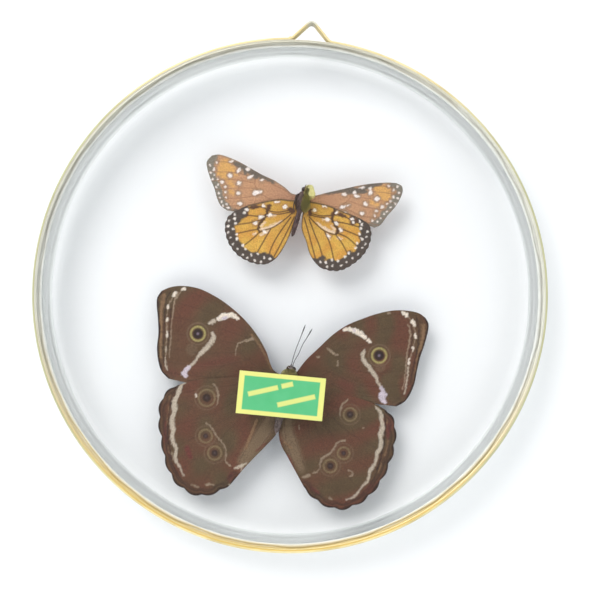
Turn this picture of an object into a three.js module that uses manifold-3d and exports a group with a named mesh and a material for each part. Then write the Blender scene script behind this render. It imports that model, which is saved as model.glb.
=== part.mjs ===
// A round hanging case with two spread butterflies between clear glass.
// A shallow glass dish is closed at the back by a flat glass pane, and one brass band runs round both and
// rises at the top into a hanging loop. Each butterfly is glued by its underside to the back pane, and a
// paper label is stuck on the outside of that pane. Millimetres, +Z up. The origin is the inside of the
// loop's peak, where the case hangs. -Y is the back, with the label, and +Y is the display side.

import * as THREE from 'three';
import { mergeVertices } from 'three/addons/utils/BufferGeometryUtils.js';
import Module from 'manifold-3d';

const wasm = await Module();
wasm.setup();

// The round case
const caseRadius = 101.6; // outside of the brass band: an eight inch case
const caseDepth = 19.5; // from the band's rear edge to the dish's display face
const roundSteps = 90; // facets round the glass
const seam = 0.3; // gap between neighbours that touch

// The brass band and its loop
const bandThickness = 0.8;
const bandDepth = 5.5;
const loopHalfWidth = 7.7; // where the loop leaves the circle, left and right of the top
const loopPeak = 8.2; // the corner that the two legs point at, above their feet
const loopBendStart = 0.78; // how far up a leg the bend at the peak begins
const bendSteps = 5;

// The glass
const paneRecess = 0.3; // the pane's outer face lies this far inside the band's rear edge
const paneThickness = 2.0;
const dishWall = 2.4;
const dishFloor = 2.2;
const dishCorner = 3.2; // outer rounding between wall and display face
const outerCornerSteps = 3;
const innerCornerSteps = 1;
const glassRadius = caseRadius - bandThickness - seam;

// The label on the pane
const labelWidth = 34.2;
const labelHeight = 16.9;
const labelThickness = 0.2; // with its gum
const labelPlace = [-0.4, -39.7]; // from the case's centre
const labelTurn = 0.9; // degrees, clockwise from behind

// The butterflies: places of the thorax from the case's centre, and depths from the band's rear edge
const wingThickness = 0.5;
const spanSteps = 7; // wing facets from root to margin
const chordSteps = 10; // wing facets from costa to inner margin
const stepsPerLobe = 3; // along a scalloped margin
const lobeMiddle = 0.6; // a lobe's height that lies on the drawn margin, from 0 in the notch to 1
const bodySides = 10;
const limbSides = 5;
const legSteps = 4;
const eyeSides = 6;
const eyeUnder = 0.2; // how far the eyes' middles lie to the underside of the head's
const antennaRadius = 0.25;
const antennaSteps = 7;
const antennaDrop = 0.35; // how much nearer to the pane each next point of an antenna lies
const riseCurve = 1.5; // a wing's rise grows with this power of the distance from the body
const weld = 1e-4; // points closer than this are one
const bluntMitre = 0.5; // keeps a sharp corner of the band from running out

const queen = {
  place: [1.7, 37.6],
  bodyDepth: 7.6,
  lean: 9, // degrees that the head leans to the right, from behind
  profile: [[0, 6.4], [1.0, 6.0], [1.3, 5.2], [1.1, 4.4], [2.0, 3.6], [2.6, 2.0], [2.7, 0.2], [2.2, -1.8],
    [1.4, -3.4], [1.1, -4.6], [1.2, -8.0], [1.0, -11.4], [0.6, -13.4], [0, -14.0]],
  eye: { radius: 0.75, along: 5.3, aside: 0.85 },
  legs: { radius: 0.35, starts: [2.6, 0.6],
    path: [[1.3, -1.2, 0], [2.6, -1.5, -0.2], [2.8, -1.35, -2.7], [1.8, -1.5, -5.4]] },
  antennae: [],
  foreLevel: 1.3,
  rise: 1.6, // how much further from the pane the wing tips lie than the roots
  span: 40,
  wings: [
    {
      side: -1,
      layer: 'fore',
      costa: [[-1.4, 3.0], [-4.4, 3.4], [-7.2, 5.5], [-11.7, 8.0], [-17.0, 10.0], [-25.0, 13.8],
        [-30.5, 15.9], [-35.0, 16.8], [-37.8, 16.2]],
      margin: [[-39.6, 13.6], [-39.2, 10.8], [-37.6, 6.8], [-35.6, 2.8], [-34.2, -1.0], [-32.5, -3.8]],
      inner: [[-1.2, -1.4], [-8.7, -3.1], [-15.8, -4.9], [-22.6, -6.0], [-29.9, -5.4]],
    },
    {
      side: -1,
      layer: 'hind',
      costa: [[-1.2, 0.8], [-4.9, 0.6], [-9.1, 0.7], [-14.4, -0.6], [-22.4, -3.2], [-25.9, -5.3]],
      margin: [[-28.9, -7.6], [-30.1, -10.9], [-29.9, -13.8], [-28.2, -18.4], [-24.4, -22.8],
        [-19.8, -25.2], [-15.0, -26.1]],
      inner: [[-1.0, -3.2], [-2.1, -7.4], [-3.9, -13.8], [-6.2, -19.3], [-8.8, -23.4], [-11.7, -25.6]],
    },
    {
      side: 1,
      layer: 'fore',
      costa: [[1.8, 3.0], [4.1, 3.0], [9.3, 4.7], [15.7, 6.7], [22.0, 8.7], [28.0, 10.1], [34.0, 11.0],
        [37.4, 11.1]],
      margin: [[39.6, 10.1], [40.2, 8.4], [39.5, 5.2], [37.7, 1.5], [34.8, -2.4], [32.2, -6.4]],
      inner: [[1.4, -1.4], [9.5, -2.5], [16.5, -3.9], [23.1, -5.8], [30.0, -7.6]],
    },
    {
      side: 1,
      layer: 'hind',
      costa: [[1.4, 0.8], [5.3, 0.5], [10.6, -0.3], [15.6, -1.9], [23.7, -4.4], [27.4, -6.3]],
      margin: [[28.7, -9.0], [28.5, -14.1], [26.3, -19.0], [22.2, -23.2], [17.7, -25.9], [13.0, -26.3]],
      inner: [[0.6, -3.6], [0.7, -10.4], [2.9, -15.5], [4.8, -20.4], [7.1, -23.5], [9.3, -25.4]],
    },
  ],
  marginLobes: 0,
  marginLobeDepth: 0,
};

const morpho = {
  place: [1.8, -35.5],
  bodyDepth: 8.2,
  lean: 8.7,
  profile: [[0, 7.6], [1.2, 7.1], [1.6, 6.2], [1.2, 5.2], [2.4, 4.2], [3.2, 2.4], [3.4, 0.2], [2.9, -2.4],
    [1.9, -4.4], [1.5, -5.8], [1.7, -9.5], [1.5, -15.0], [1.0, -19.0], [0, -20.6]],
  eye: { radius: 0.95, along: 6.3, aside: 1.0 },
  legs: { radius: 0.4, starts: [2.8, 0.6],
    path: [[1.65, -1.5, 0], [3.3, -1.9, -0.2], [3.6, -1.7, -3.3], [2.3, -1.9, -6.6]] },
  antennae: [
    [[1.2, 6.6], [2.1, 9.6], [3.5, 12.6], [4.8, 16.4], [6.4, 19.5], [8.1, 23.0]],
    [[0.8, 6.6], [1.3, 10.0], [2.2, 14.0], [3.5, 18.4], [5.2, 24.2]],
  ],
  foreLevel: 1.6,
  rise: 2.4,
  span: 55,
  wings: [
    {
      side: -1,
      layer: 'fore',
      costa: [[-2.0, 3.0], [-6.1, 5.0], [-9.7, 12.3], [-13.5, 18.0], [-18.0, 23.0], [-22.3, 26.7],
        [-28.0, 30.6], [-33.0, 33.2], [-39.1, 35.4], [-45.8, 35.9], [-50.4, 35.0], [-54.0, 33.2]],
      margin: [[-55.5, 30.4], [-55.5, 27.4], [-54.5, 21.4], [-53.9, 15.8], [-54.0, 10.0], [-53.0, 4.6],
        [-51.4, 0.8]],
      inner: [[-1.8, -1.6], [-12.6, -2.2], [-22.3, -2.8], [-32.0, -3.0], [-40.9, -3.0], [-48.4, -2.0]],
    },
    {
      side: -1,
      layer: 'hind',
      costa: [[-2.0, 1.0], [-10.5, 1.4], [-19.6, 0.9], [-30.4, -0.4], [-39.6, -2.4], [-44.5, -4.4]],
      margin: [[-48.2, -7.1], [-50.5, -11.0], [-50.8, -19.0], [-49.0, -27.8], [-46.5, -36.2],
        [-42.3, -43.2], [-37.4, -46.6], [-32.4, -48.0], [-26.7, -46.8], [-21.5, -43.8]],
      inner: [[-1.4, -3.6], [-2.2, -12.0], [-2.8, -20.1], [-6.7, -25.6], [-12.6, -32.6], [-17.9, -39.6]],
    },
    {
      side: 1,
      layer: 'fore',
      costa: [[2.0, 3.2], [3.5, 5.3], [6.6, 10.0], [11.4, 15.4], [16.7, 21.2], [22.2, 25.5], [28.1, 28.5],
        [33.4, 30.8], [40.2, 32.8], [46.0, 33.2], [50.8, 32.5], [53.6, 30.9]],
      margin: [[55.0, 28.6], [55.1, 26.0], [54.0, 19.8], [52.6, 14.3], [51.8, 8.8], [51.0, 3.0],
        [48.2, -3.2]],
      inner: [[1.6, -1.4], [13.3, -2.6], [24.7, -3.9], [34.6, -5.3], [44.7, -5.8]],
    },
    {
      side: 1,
      layer: 'hind',
      costa: [[2.0, 0.8], [9.0, 0.5], [15.6, -0.4], [25.8, -2.8], [36.2, -5.6], [40.5, -7.6]],
      margin: [[43.6, -10.8], [45.0, -14.8], [45.0, -23.0], [43.0, -31.0], [39.4, -38.8], [34.0, -45.0],
        [26.0, -48.8], [19.2, -47.9], [13.9, -45.0]],
      inner: [[0.6, -3.8], [-2.0, -12.9], [-1.3, -23.2], [2.5, -29.6], [6.4, -35.6], [9.9, -41.0]],
    },
  ],
  marginLobes: 9,
  marginLobeDepth: 0.9,
};

// The glue that holds each thorax to the pane
const queenGlue = { halfWidth: 4.2, halfHeight: 6.8, place: [2.3, 37.2] };
const morphoGlue = { halfWidth: 5.2, halfHeight: 6.8, place: [2.2, -34.6] };
const glueSides = 24;
const glueBulge = 0.6; // how far the bead's side swells past its foot
const glueWaist = 0.45; // how far up the bead is widest
const hindLayerStep = 0.42; // the hind wings lie this much nearer to the pane than the fore wings

// Materials
const clear = { transparent: true, opacity: 0.3 };
const glass = new THREE.MeshStandardMaterial({ color: 0xeef6f4, roughness: 0.02, metalness: 0, ...clear });
const brass = new THREE.MeshStandardMaterial({ color: 0xcfa348, roughness: 0.3, metalness: 1 });
const paper = new THREE.MeshStandardMaterial({ color: 0x62cc86, roughness: 0.6, metalness: 0 });
const agedGlue = new THREE.MeshStandardMaterial({ color: 0xb9b04a, roughness: 0.25, metalness: 0 });
const queenScales = new THREE.MeshStandardMaterial({ color: 0xd08f3a, roughness: 0.75, metalness: 0 });
const morphoScales = new THREE.MeshStandardMaterial({ color: 0x64493a, roughness: 0.7, metalness: 0 });

function solidOf(geometry) {
  const plain = geometry.clone();
  plain.deleteAttribute('normal');
  plain.deleteAttribute('uv');
  const merged = mergeVertices(plain, weld);
  const vertProperties = new Float32Array(merged.attributes.position.array);
  const corners = [];
  for (let i = 0; i < merged.index.count; i += 3) {
    const [a, b, c] = [0, 1, 2].map((k) => merged.index.getX(i + k));
    if (a !== b && b !== c && c !== a) corners.push(a, b, c);
  }
  return new wasm.Manifold(new wasm.Mesh({ numProp: 3, vertProperties, triVerts: new Uint32Array(corners) }));
}

function geometryOf(solid) {
  const { vertProperties, triVerts } = solid.getMesh();
  const geometry = new THREE.BufferGeometry();
  geometry.setAttribute('position', new THREE.BufferAttribute(new Float32Array(vertProperties), 3));
  geometry.setIndex(new THREE.BufferAttribute(new Uint32Array(triVerts), 1));
  return geometry;
}

// A lathe's axis is Y: this lays it along the case's own axis, from the back towards the display side.
function turnedGlass(profile) {
  const points = profile.map(([radius, depth]) => new THREE.Vector2(radius, depth));
  return new THREE.LatheGeometry(points, roundSteps);
}

function backPane() {
  const rear = paneRecess;
  const front = paneRecess + paneThickness;
  return turnedGlass([[0, rear], [glassRadius, rear], [glassRadius, front], [0, front]]);
}

// The dish: floor, a rounded corner and a straight wall, open towards the pane.
function frontDish() {
  const rim = paneRecess + paneThickness + seam;
  const innerRadius = glassRadius - dishWall;
  const innerFloor = caseDepth - dishFloor;
  const innerCorner = dishCorner - Math.min(dishWall, dishFloor);
  const profile = [[0, innerFloor]];
  for (let i = 0; i <= innerCornerSteps; i += 1) {
    const angle = (i / innerCornerSteps) * (Math.PI / 2);
    profile.push([
      innerRadius - innerCorner + innerCorner * Math.sin(angle),
      innerFloor - innerCorner + innerCorner * Math.cos(angle),
    ]);
  }
  profile.push([innerRadius, rim], [glassRadius, rim]);
  for (let i = outerCornerSteps; i >= 0; i -= 1) {
    const angle = (i / outerCornerSteps) * (Math.PI / 2);
    profile.push([
      glassRadius - dishCorner + dishCorner * Math.sin(angle),
      caseDepth - dishCorner + dishCorner * Math.cos(angle),
    ]);
  }
  profile.push([0, caseDepth]);
  return turnedGlass(profile);
}

// The band's middle line, seen from behind: the circle from foot to foot, then the loop's bent peak.
const bandRadius = caseRadius - bandThickness / 2;
const footHeight = Math.sqrt(bandRadius ** 2 - loopHalfWidth ** 2);

function loopPeakCurve() {
  const peak = new THREE.Vector2(0, footHeight + loopPeak);
  const up = new THREE.Vector2(loopHalfWidth, footHeight).lerp(peak, loopBendStart);
  return new THREE.QuadraticBezierCurve(up, peak, new THREE.Vector2(-up.x, up.y));
}

const hangHeight = loopPeakCurve().getPoint(0.5).y - bandThickness / 2;

function bandLine() {
  const footAngle = Math.asin(loopHalfWidth / bandRadius);
  const line = [];
  for (let i = 0; i <= roundSteps; i += 1) {
    const angle = Math.PI / 2 + footAngle + (i / roundSteps) * 2 * (Math.PI - footAngle);
    line.push(new THREE.Vector2(bandRadius * Math.cos(angle), bandRadius * Math.sin(angle)));
  }
  return line.concat(loopPeakCurve().getPoints(bendSteps));
}

// The line moved sideways by an offset, its corners mitred.
function besideLine(line, offset) {
  return line.map((point, i) => {
    const before = line[(i + line.length - 1) % line.length];
    const after = line[(i + 1) % line.length];
    const into = point.clone().sub(before).normalize();
    const out = after.clone().sub(point).normalize();
    const along = into.clone().add(out).normalize();
    const mitre = 1 / Math.max(bluntMitre, along.dot(into));
    return new THREE.Vector2(along.y, -along.x).multiplyScalar(offset * mitre).add(point);
  });
}

function brassBand() {
  const line = bandLine();
  const outline = new THREE.Shape(besideLine(line, bandThickness / 2));
  outline.holes.push(new THREE.Path(besideLine(line, -bandThickness / 2)));
  const geometry = new THREE.ExtrudeGeometry(outline, { depth: bandDepth, bevelEnabled: false });
  return geometry.rotateX(Math.PI / 2).translate(0, bandDepth, 0);
}

// The label's outer face is level with the band's rear edge.
function paperLabel() {
  return new THREE.BoxGeometry(labelWidth, labelThickness, labelHeight);
}

// A low bead of glue between the pane and the underside of a thorax.
function glueBead(glue, butterfly) {
  const innerPane = paneRecess + paneThickness;
  const thoraxRadius = Math.max(...butterfly.profile.map(([radius]) => radius));
  const height = butterfly.bodyDepth - thoraxRadius - innerPane - 2 * seam;
  const unit = glue.halfWidth;
  const foot = unit - glueBulge;
  const profile = [[0, 0], [foot, 0], [unit, height * glueWaist], [foot, height], [0, height]];
  const geometry = new THREE.LatheGeometry(profile.map(([r, h]) => new THREE.Vector2(r, h)), glueSides);
  return geometry.scale(1, 1, glue.halfHeight / glue.halfWidth).translate(0, innerPane + seam, 0);
}

// A wing is a patch between four edges: root, costa, outer margin and inner margin. A point is the blend
// of the two facing edges both ways, less the blend of the four corners.
function wingGrid(butterfly, wing, lobes, steps) {
  const curve = (points, count) => {
    const path = new THREE.CatmullRomCurve3(points.map(([x, z]) => new THREE.Vector3(x, 0, z)));
    return path.getSpacedPoints(count);
  };
  const costa = curve(wing.costa, spanSteps);
  const inner = curve(wing.inner, spanSteps);
  const root = curve([wing.costa[0], wing.inner[0]], steps);
  const margin = curve([wing.costa.at(-1), ...wing.margin, wing.inner.at(-1)], steps);
  margin.forEach((point, k) => {
    if (!lobes || k === 0 || k === steps) return;
    const along = margin[k + 1].clone().sub(margin[k - 1]).normalize();
    const swell = Math.abs(Math.sin((k / steps) * lobes * Math.PI)) - lobeMiddle;
    point.x += wing.side * -along.z * swell * butterfly.marginLobeDepth;
    point.z += wing.side * along.x * swell * butterfly.marginLobeDepth;
  });
  const grid = [];
  for (let i = 0; i <= spanSteps; i += 1) {
    const s = i / spanSteps;
    for (let k = 0; k <= steps; k += 1) {
      const t = k / steps;
      const corners = new THREE.Vector3()
        .addScaledVector(costa[0], (1 - s) * (1 - t))
        .addScaledVector(inner[0], (1 - s) * t)
        .addScaledVector(costa[spanSteps], s * (1 - t))
        .addScaledVector(inner[spanSteps], s * t);
      const point = new THREE.Vector3()
        .addScaledVector(costa[i], 1 - t)
        .addScaledVector(inner[i], t)
        .addScaledVector(root[k], 1 - s)
        .addScaledVector(margin[k], s)
        .sub(corners);
      point.y = butterfly.foreLevel + butterfly.rise * (Math.abs(point.x) / butterfly.span) ** riseCurve;
      if (wing.layer === 'hind') point.y -= hindLayerStep;
      grid.push(point);
    }
  }
  return grid;
}

function wingSolid(butterfly, wing) {
  const lobes = wing.layer === 'hind' ? butterfly.marginLobes : 0;
  const steps = lobes ? lobes * stepsPerLobe : chordSteps;
  const grid = wingGrid(butterfly, wing, lobes, steps);
  const row = steps + 1;
  const positions = [];
  for (const offset of [-wingThickness / 2, wingThickness / 2]) {
    for (const point of grid) positions.push(point.x, point.y + offset, point.z);
  }
  const far = grid.length;
  const corners = [];
  const face = (a, b, c) => corners.push(...(wing.side < 0 ? [a, b, c] : [a, c, b]));
  for (let i = 0; i < spanSteps; i += 1) {
    for (let k = 0; k < steps; k += 1) {
      const a = i * row + k;
      face(a, a + row, a + row + 1);
      face(a, a + row + 1, a + 1);
      face(far + a, far + a + row + 1, far + a + row);
      face(far + a, far + a + 1, far + a + row + 1);
    }
  }
  const edge = (a, b) => {
    face(a, far + a, far + b);
    face(a, far + b, b);
  };
  for (let i = 0; i < spanSteps; i += 1) {
    edge(i * row, (i + 1) * row);
    edge((i + 1) * row + steps, i * row + steps);
  }
  for (let k = 0; k < steps; k += 1) {
    edge(k + 1, k);
    edge(spanSteps * row + k, spanSteps * row + k + 1);
  }
  const geometry = new THREE.BufferGeometry();
  geometry.setAttribute('position', new THREE.Float32BufferAttribute(positions, 3));
  geometry.setIndex(corners);
  return solidOf(geometry);
}

// A thin limb: a small section carried along a smooth path.
function limbSolid(points, radius, steps) {
  const section = new THREE.Shape();
  for (let i = 0; i < limbSides; i += 1) {
    const angle = (i / limbSides) * 2 * Math.PI;
    const move = i === 0 ? 'moveTo' : 'lineTo';
    section[move](radius * Math.cos(angle), radius * Math.sin(angle));
  }
  const extrudePath = new THREE.CatmullRomCurve3(points.map((point) => new THREE.Vector3(...point)));
  return solidOf(new THREE.ExtrudeGeometry(section, { steps, extrudePath, bevelEnabled: false }));
}

// Head, thorax and abdomen as one turned form, with the eyes and the folded legs on it.
function bodySolid(butterfly) {
  const upwards = butterfly.profile.slice().reverse();
  const profile = upwards.map(([radius, along]) => new THREE.Vector2(radius, along));
  const trunk = new THREE.LatheGeometry(profile, bodySides).rotateX(Math.PI / 2);
  let body = solidOf(trunk);
  const { eye, legs } = butterfly;
  for (const side of [-1, 1]) {
    const ball = new THREE.SphereGeometry(eye.radius, eyeSides, eyeSides - 2);
    ball.translate(side * eye.aside, -eyeUnder, eye.along);
    body = body.add(solidOf(ball));
    for (const start of legs.starts) {
      const path = legs.path.map(([out, y, along]) => [side * out, y, start + along]);
      body = body.add(limbSolid(path, legs.radius, legSteps));
    }
  }
  const lean = new THREE.Matrix4().makeRotationY(THREE.MathUtils.degToRad(butterfly.lean));
  return body.transform(lean.elements);
}

function butterflySolid(butterfly) {
  let solid = bodySolid(butterfly);
  for (const wing of butterfly.wings) {
    solid = solid.add(wingSolid(butterfly, wing));
  }
  for (const path of butterfly.antennae) {
    const antenna = path.map(([x, z], i) => [x, -antennaDrop * i, z]);
    solid = solid.add(limbSolid(antenna, antennaRadius, antennaSteps));
  }
  return geometryOf(solid);
}

// Assembly: the case's own centre lies below the hanging point.
const glassCase = new THREE.Group();
glassCase.position.set(0, -bandDepth / 2, -hangHeight);

function piece(name, geometry, material, [x, z] = [0, 0], y = 0) {
  const mesh = new THREE.Mesh(geometry, material);
  mesh.name = name;
  mesh.position.set(x, y, z);
  glassCase.add(mesh);
  return mesh;
}

piece('front_dish', frontDish(), glass);
piece('back_pane', backPane(), glass);
piece('brass_band', brassBand(), brass);
const label = piece('paper_label', paperLabel(), paper, labelPlace, labelThickness / 2);
label.rotation.y = THREE.MathUtils.degToRad(labelTurn);
piece('queen_glue', glueBead(queenGlue, queen), agedGlue, queenGlue.place);
piece('morpho_glue', glueBead(morphoGlue, morpho), agedGlue, morphoGlue.place);
piece('queen_butterfly', butterflySolid(queen), queenScales, queen.place, queen.bodyDepth);
piece('morpho_butterfly', butterflySolid(morpho), morphoScales, morpho.place, morpho.bodyDepth);

const part = new THREE.Group();
part.add(glassCase);
export default part;
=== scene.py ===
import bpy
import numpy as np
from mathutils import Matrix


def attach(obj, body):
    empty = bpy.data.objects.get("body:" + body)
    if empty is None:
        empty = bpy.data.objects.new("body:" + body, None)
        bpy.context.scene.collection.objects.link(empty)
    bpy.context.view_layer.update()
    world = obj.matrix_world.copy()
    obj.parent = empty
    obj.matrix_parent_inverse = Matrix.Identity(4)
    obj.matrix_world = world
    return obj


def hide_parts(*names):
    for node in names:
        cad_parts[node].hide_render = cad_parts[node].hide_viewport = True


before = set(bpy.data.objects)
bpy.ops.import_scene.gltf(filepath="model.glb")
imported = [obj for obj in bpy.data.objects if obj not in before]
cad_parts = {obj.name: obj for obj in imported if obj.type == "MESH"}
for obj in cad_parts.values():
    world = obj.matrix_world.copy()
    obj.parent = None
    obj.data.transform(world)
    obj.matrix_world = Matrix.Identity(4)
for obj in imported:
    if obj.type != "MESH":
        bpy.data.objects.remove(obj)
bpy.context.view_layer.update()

# A round hanging glass case with two spread butterflies, seen from its back, the side with the label.
# Sizes are millimetres in the case's own frame: x to the right, z up from the case's centre, y from the
# band's rear edge towards the display side. buildPiece moves them into the part's frame, in metres.

case = {
    "radius": 101.6,  # outside of the brass band
    "depth": 19.5,
    "bandDepth": 5.5,
    "hangHeight": 107.80464,  # from the case's centre up to the inside of the loop's peak
}
caseOrigin = np.array([0.0, -case["bandDepth"] / 2, -case["hangHeight"]])
draw = np.random.default_rng(41)  # every random choice comes from this one seed


# sRGB hex to linear: c / 12.92 up to 0.04045, and ((c + 0.055) / 1.055) ^ 2.4 above it
def linear(code):
    share = np.array([int(code[i:i + 2], 16) for i in (1, 3, 5)]) / 255
    bright = np.where(share <= 0.04045, share / 12.92, ((share + 0.055) / 1.055) ** 2.4)
    return (*bright.tolist(), 1.0)


# A pattern's scale on Object coordinates, which are metres, from its size in millimetres
def perMetre(size):
    return 1000 / size


# A node with its settings, which are its own properties or its input sockets, and the links into it
def addNode(tree, kind, settings=None, links=None):
    node = tree.nodes.new(kind)
    for name, value in (settings or {}).items():
        if isinstance(name, str) and hasattr(node, name):
            setattr(node, name, value)
        else:
            node.inputs[name].default_value = value
    for name, source in (links or {}).items():
        tree.links.new(source, node.inputs[name])
    return node


# An empty material with its output node, ready for a surface
def newMaterial(name):
    material = bpy.data.materials.new(name)
    material.use_nodes = True
    material.node_tree.nodes.clear()
    output = addNode(material.node_tree, "ShaderNodeOutputMaterial")
    return material, material.node_tree, output


# Two colours in cloudy patches of a size in millimetres; spread is the stretch of the noise over which the
# one turns into the other. Gives the noise too, for relief and roughness.
def patchyColours(tree, place, size, detail, first, second, spread=(0.0, 1.0)):
    noise = addNode(tree, "ShaderNodeTexNoise", {"Scale": perMetre(size), "Detail": detail},
                    {"Vector": place.outputs["Object"]})
    share = addNode(tree, "ShaderNodeMapRange", {"From Min": spread[0], "From Max": spread[1]},
                    {"Value": noise.outputs["Fac"]})
    mix = addNode(tree, "ShaderNodeMix", {"data_type": "RGBA", 6: linear(first), 7: linear(second)},
                  {0: share.outputs[0]})
    return noise.outputs["Fac"], mix.outputs[2]


# The shader with its colour, and with relief of a strength and a depth in metres, joined to the output
def finishCoat(tree, output, colour, relief, strength, depth, settings, links=None):
    bump = addNode(tree, "ShaderNodeBump", {"Strength": strength, "Distance": depth}, {"Height": relief})
    coat = addNode(tree, "ShaderNodeBsdfPrincipled", settings,
                   {"Base Color": colour, "Normal": bump.outputs[0], **(links or {})})
    tree.links.new(coat.outputs[0], output.inputs["Surface"])


# The colour over the layers: each layer's own attribute, 0 to 1, lays its colour over what is under it
def layColours(tree, ground, layers):
    for attribute, colour in layers:
        share = addNode(tree, "ShaderNodeAttribute", {"attribute_name": attribute})
        mix = addNode(tree, "ShaderNodeMix", {"data_type": "RGBA", 7: linear(colour)},
                      {0: share.outputs["Fac"], 6: ground})
        ground = mix.outputs[2]
    return ground


# Turns the faces round if the volume that they close in comes out negative: the sum over the triangles of
# a . (b x c) / 6
def outward(points, faces):
    corners = points[faces]
    volume = 0.0
    for k in range(1, faces.shape[1] - 1):
        a, b, c = corners[:, 0], corners[:, k], corners[:, k + 1]
        volume += np.einsum("ij,ij->i", a, np.cross(b, c)).sum()
    return faces[:, [1, 0, 3, 2]] if volume < 0 else faces


# Joins closed shells into one mesh that stands for a node. A face has four corners, and a triangle's last
# corner stands there twice.
def buildPiece(name, shells, materials, node):
    points, faces, slots, fields, start = [], [], [], {}, 0
    for shell in shells:
        turned = outward(shell["points"], shell["faces"])
        points.append(shell["points"])
        faces.append(turned + start)
        own = shell.get("material", 0)
        slots.append(np.broadcast_to(own, len(turned)))
        start += len(shell["points"])
    points, faces, slots = np.concatenate(points), np.concatenate(faces), np.concatenate(slots)
    for key in sorted({key for shell in shells for key in shell.get("fields", {})}):
        fields[key] = np.concatenate([
            shell.get("fields", {}).get(key, np.zeros(len(shell["points"]))) for shell in shells])
    mesh = bpy.data.meshes.new(name)
    corners = [face[:3] if face[2] == face[3] else face for face in faces.tolist()]
    mesh.from_pydata(((points + caseOrigin) / 1000).tolist(), [], corners)
    for material in materials:
        mesh.materials.append(material)
    mesh.polygons.foreach_set("material_index", slots.astype(np.int32))
    mesh.polygons.foreach_set("use_smooth", np.full(len(corners), True))
    for key, values in fields.items():
        mesh.attributes.new(key, "FLOAT", "POINT").data.foreach_set("value", values.astype(np.float32))
    mesh.update()
    piece = bpy.data.objects.new(name, mesh)
    bpy.context.scene.collection.objects.link(piece)
    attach(piece, "root")
    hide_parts(node)
    print(f"{name}: {sum(len(c) - 2 for c in corners)} triangles")
    return piece


# Rings of points, closed round, and a pole at each end: rings is (ring, side, xyz)
def ringShell(rings, firstPole, lastPole, **extra):
    count, sides = rings.shape[:2]
    points = np.concatenate([[firstPole], rings.reshape(-1, 3), [lastPole]])
    here = 1 + np.arange(count * sides).reshape(count, sides)
    beside = np.roll(here, -1, axis=1)
    wall = np.stack([here[:-1], beside[:-1], beside[1:], here[1:]], -1).reshape(-1, 4)
    first = np.stack([0 * here[0], beside[0], here[0], here[0]], -1)
    last = np.stack([0 * here[0] + count * sides + 1, here[-1], beside[-1], beside[-1]], -1)
    return {"points": points, "faces": np.concatenate([first, wall, last]), **extra}


# A profile turned round the case's axis: x = r cos a, z = r sin a, y = depth, each (ring, side)
def turnedShell(radius, depth, **extra):
    angle = np.arange(radius.shape[1]) / radius.shape[1] * 2 * np.pi
    rings = np.stack([radius * np.cos(angle), depth, radius * np.sin(angle)], -1)[1:-1]
    return ringShell(rings, [0, depth[0, 0], 0], [0, depth[-1, 0], 0], **extra)


# A turned shell's materials: one slot for each step of the profile, the same all the way round
def turnedSlots(profile, sides, slotAt):
    middle = (profile[1:-2] + profile[2:-1]) / 2
    steps = [slotAt(radius, depth) for radius, depth in middle]
    return np.repeat([0, *steps, 0], sides)


# A closed section carried round a closed line: point = line + across * normal, with the depth along y
def loopShell(line, section, **extra):
    along = np.roll(line, -1, axis=0) - np.roll(line, 1, axis=0)
    along /= np.linalg.norm(along, axis=1, keepdims=True)
    normal = np.stack([along[:, 1], -along[:, 0]], -1)
    flat = line[:, None] + section[None, :, :1] * normal[:, None]
    depth = np.broadcast_to(section[:, 1], flat.shape[:2])
    points = np.stack([flat[..., 0], depth, flat[..., 1]], -1)
    here = np.arange(flat.shape[0] * flat.shape[1]).reshape(flat.shape[:2])
    beside, ahead = np.roll(here, -1, axis=1), np.roll(here, -1, axis=0)
    faces = np.stack([here, beside, np.roll(ahead, -1, axis=1), ahead], -1).reshape(-1, 4)
    return {"points": points.reshape(-1, 3), "faces": faces, **extra}


# Two facing grids of points joined round their border: under and over are (row, column, xyz)
def sheetShell(under, over, **extra):
    rows, columns = under.shape[:2]
    far = rows * columns
    here = np.arange(far).reshape(rows, columns)
    cells = np.stack([here[:-1, :-1], here[1:, :-1], here[1:, 1:], here[:-1, 1:]], -1).reshape(-1, 4)
    border = np.concatenate([here[0, :-1], here[:-1, -1], here[-1, :0:-1], here[:0:-1, 0]])
    onward = np.roll(border, -1)
    rim = np.stack([border, onward, onward + far, border + far], -1)
    faces = np.concatenate([cells, cells[:, ::-1] + far, rim])
    points = np.concatenate([under.reshape(-1, 3), over.reshape(-1, 3)])
    material = np.repeat([0, 1, 0], [len(cells)] * 2 + [len(rim)])
    return {"points": points, "faces": faces, "material": material, **extra}


# A round limb along a path: point = path + radius (cos a * side + sin a * top), side and top square to it
def tubeShell(path, radii, sides, **extra):
    along = np.gradient(path, axis=0)
    along /= np.linalg.norm(along, axis=1, keepdims=True)
    side = np.cross(along, [0.0, 1.0, 0.0])
    side /= np.linalg.norm(side, axis=1, keepdims=True)
    top = np.cross(side, along)
    angle = np.arange(sides) / sides * 2 * np.pi
    reach = np.broadcast_to(radii, len(path))[:, None, None]
    spread = np.cos(angle)[:, None] * side[:, None] + np.sin(angle)[:, None] * top[:, None]
    return ringShell(path[:, None] + reach * spread, path[0], path[-1], **extra)


# A lump: an ellipsoid whose radius swells by a few waves, x = (1 + waves) rx sin u cos v and so on
def blobShell(centre, radii, waves, steps):
    u = np.linspace(0, np.pi, steps + 1)[1:-1, None]
    v = np.arange(2 * steps)[None] / (2 * steps) * 2 * np.pi
    lumps = np.sin(3 * v + 1) * np.sin(u) + np.sin(2 * v + 4 * u) + 0.6 * np.cos(5 * v - 3 * u)
    ball = np.stack([np.sin(u) * np.cos(v), np.sin(u) * np.sin(v), np.cos(u) + 0 * v], -1)
    ball = ball * (1 + waves * lumps / 2.6)[..., None]
    rings = np.asarray(centre) + ball * np.asarray(radii)
    poles = np.asarray(centre) + np.array([[0, 0, 1], [0, 0, -1]]) * np.asarray(radii)
    return ringShell(rings, poles[0], poles[1])


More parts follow.
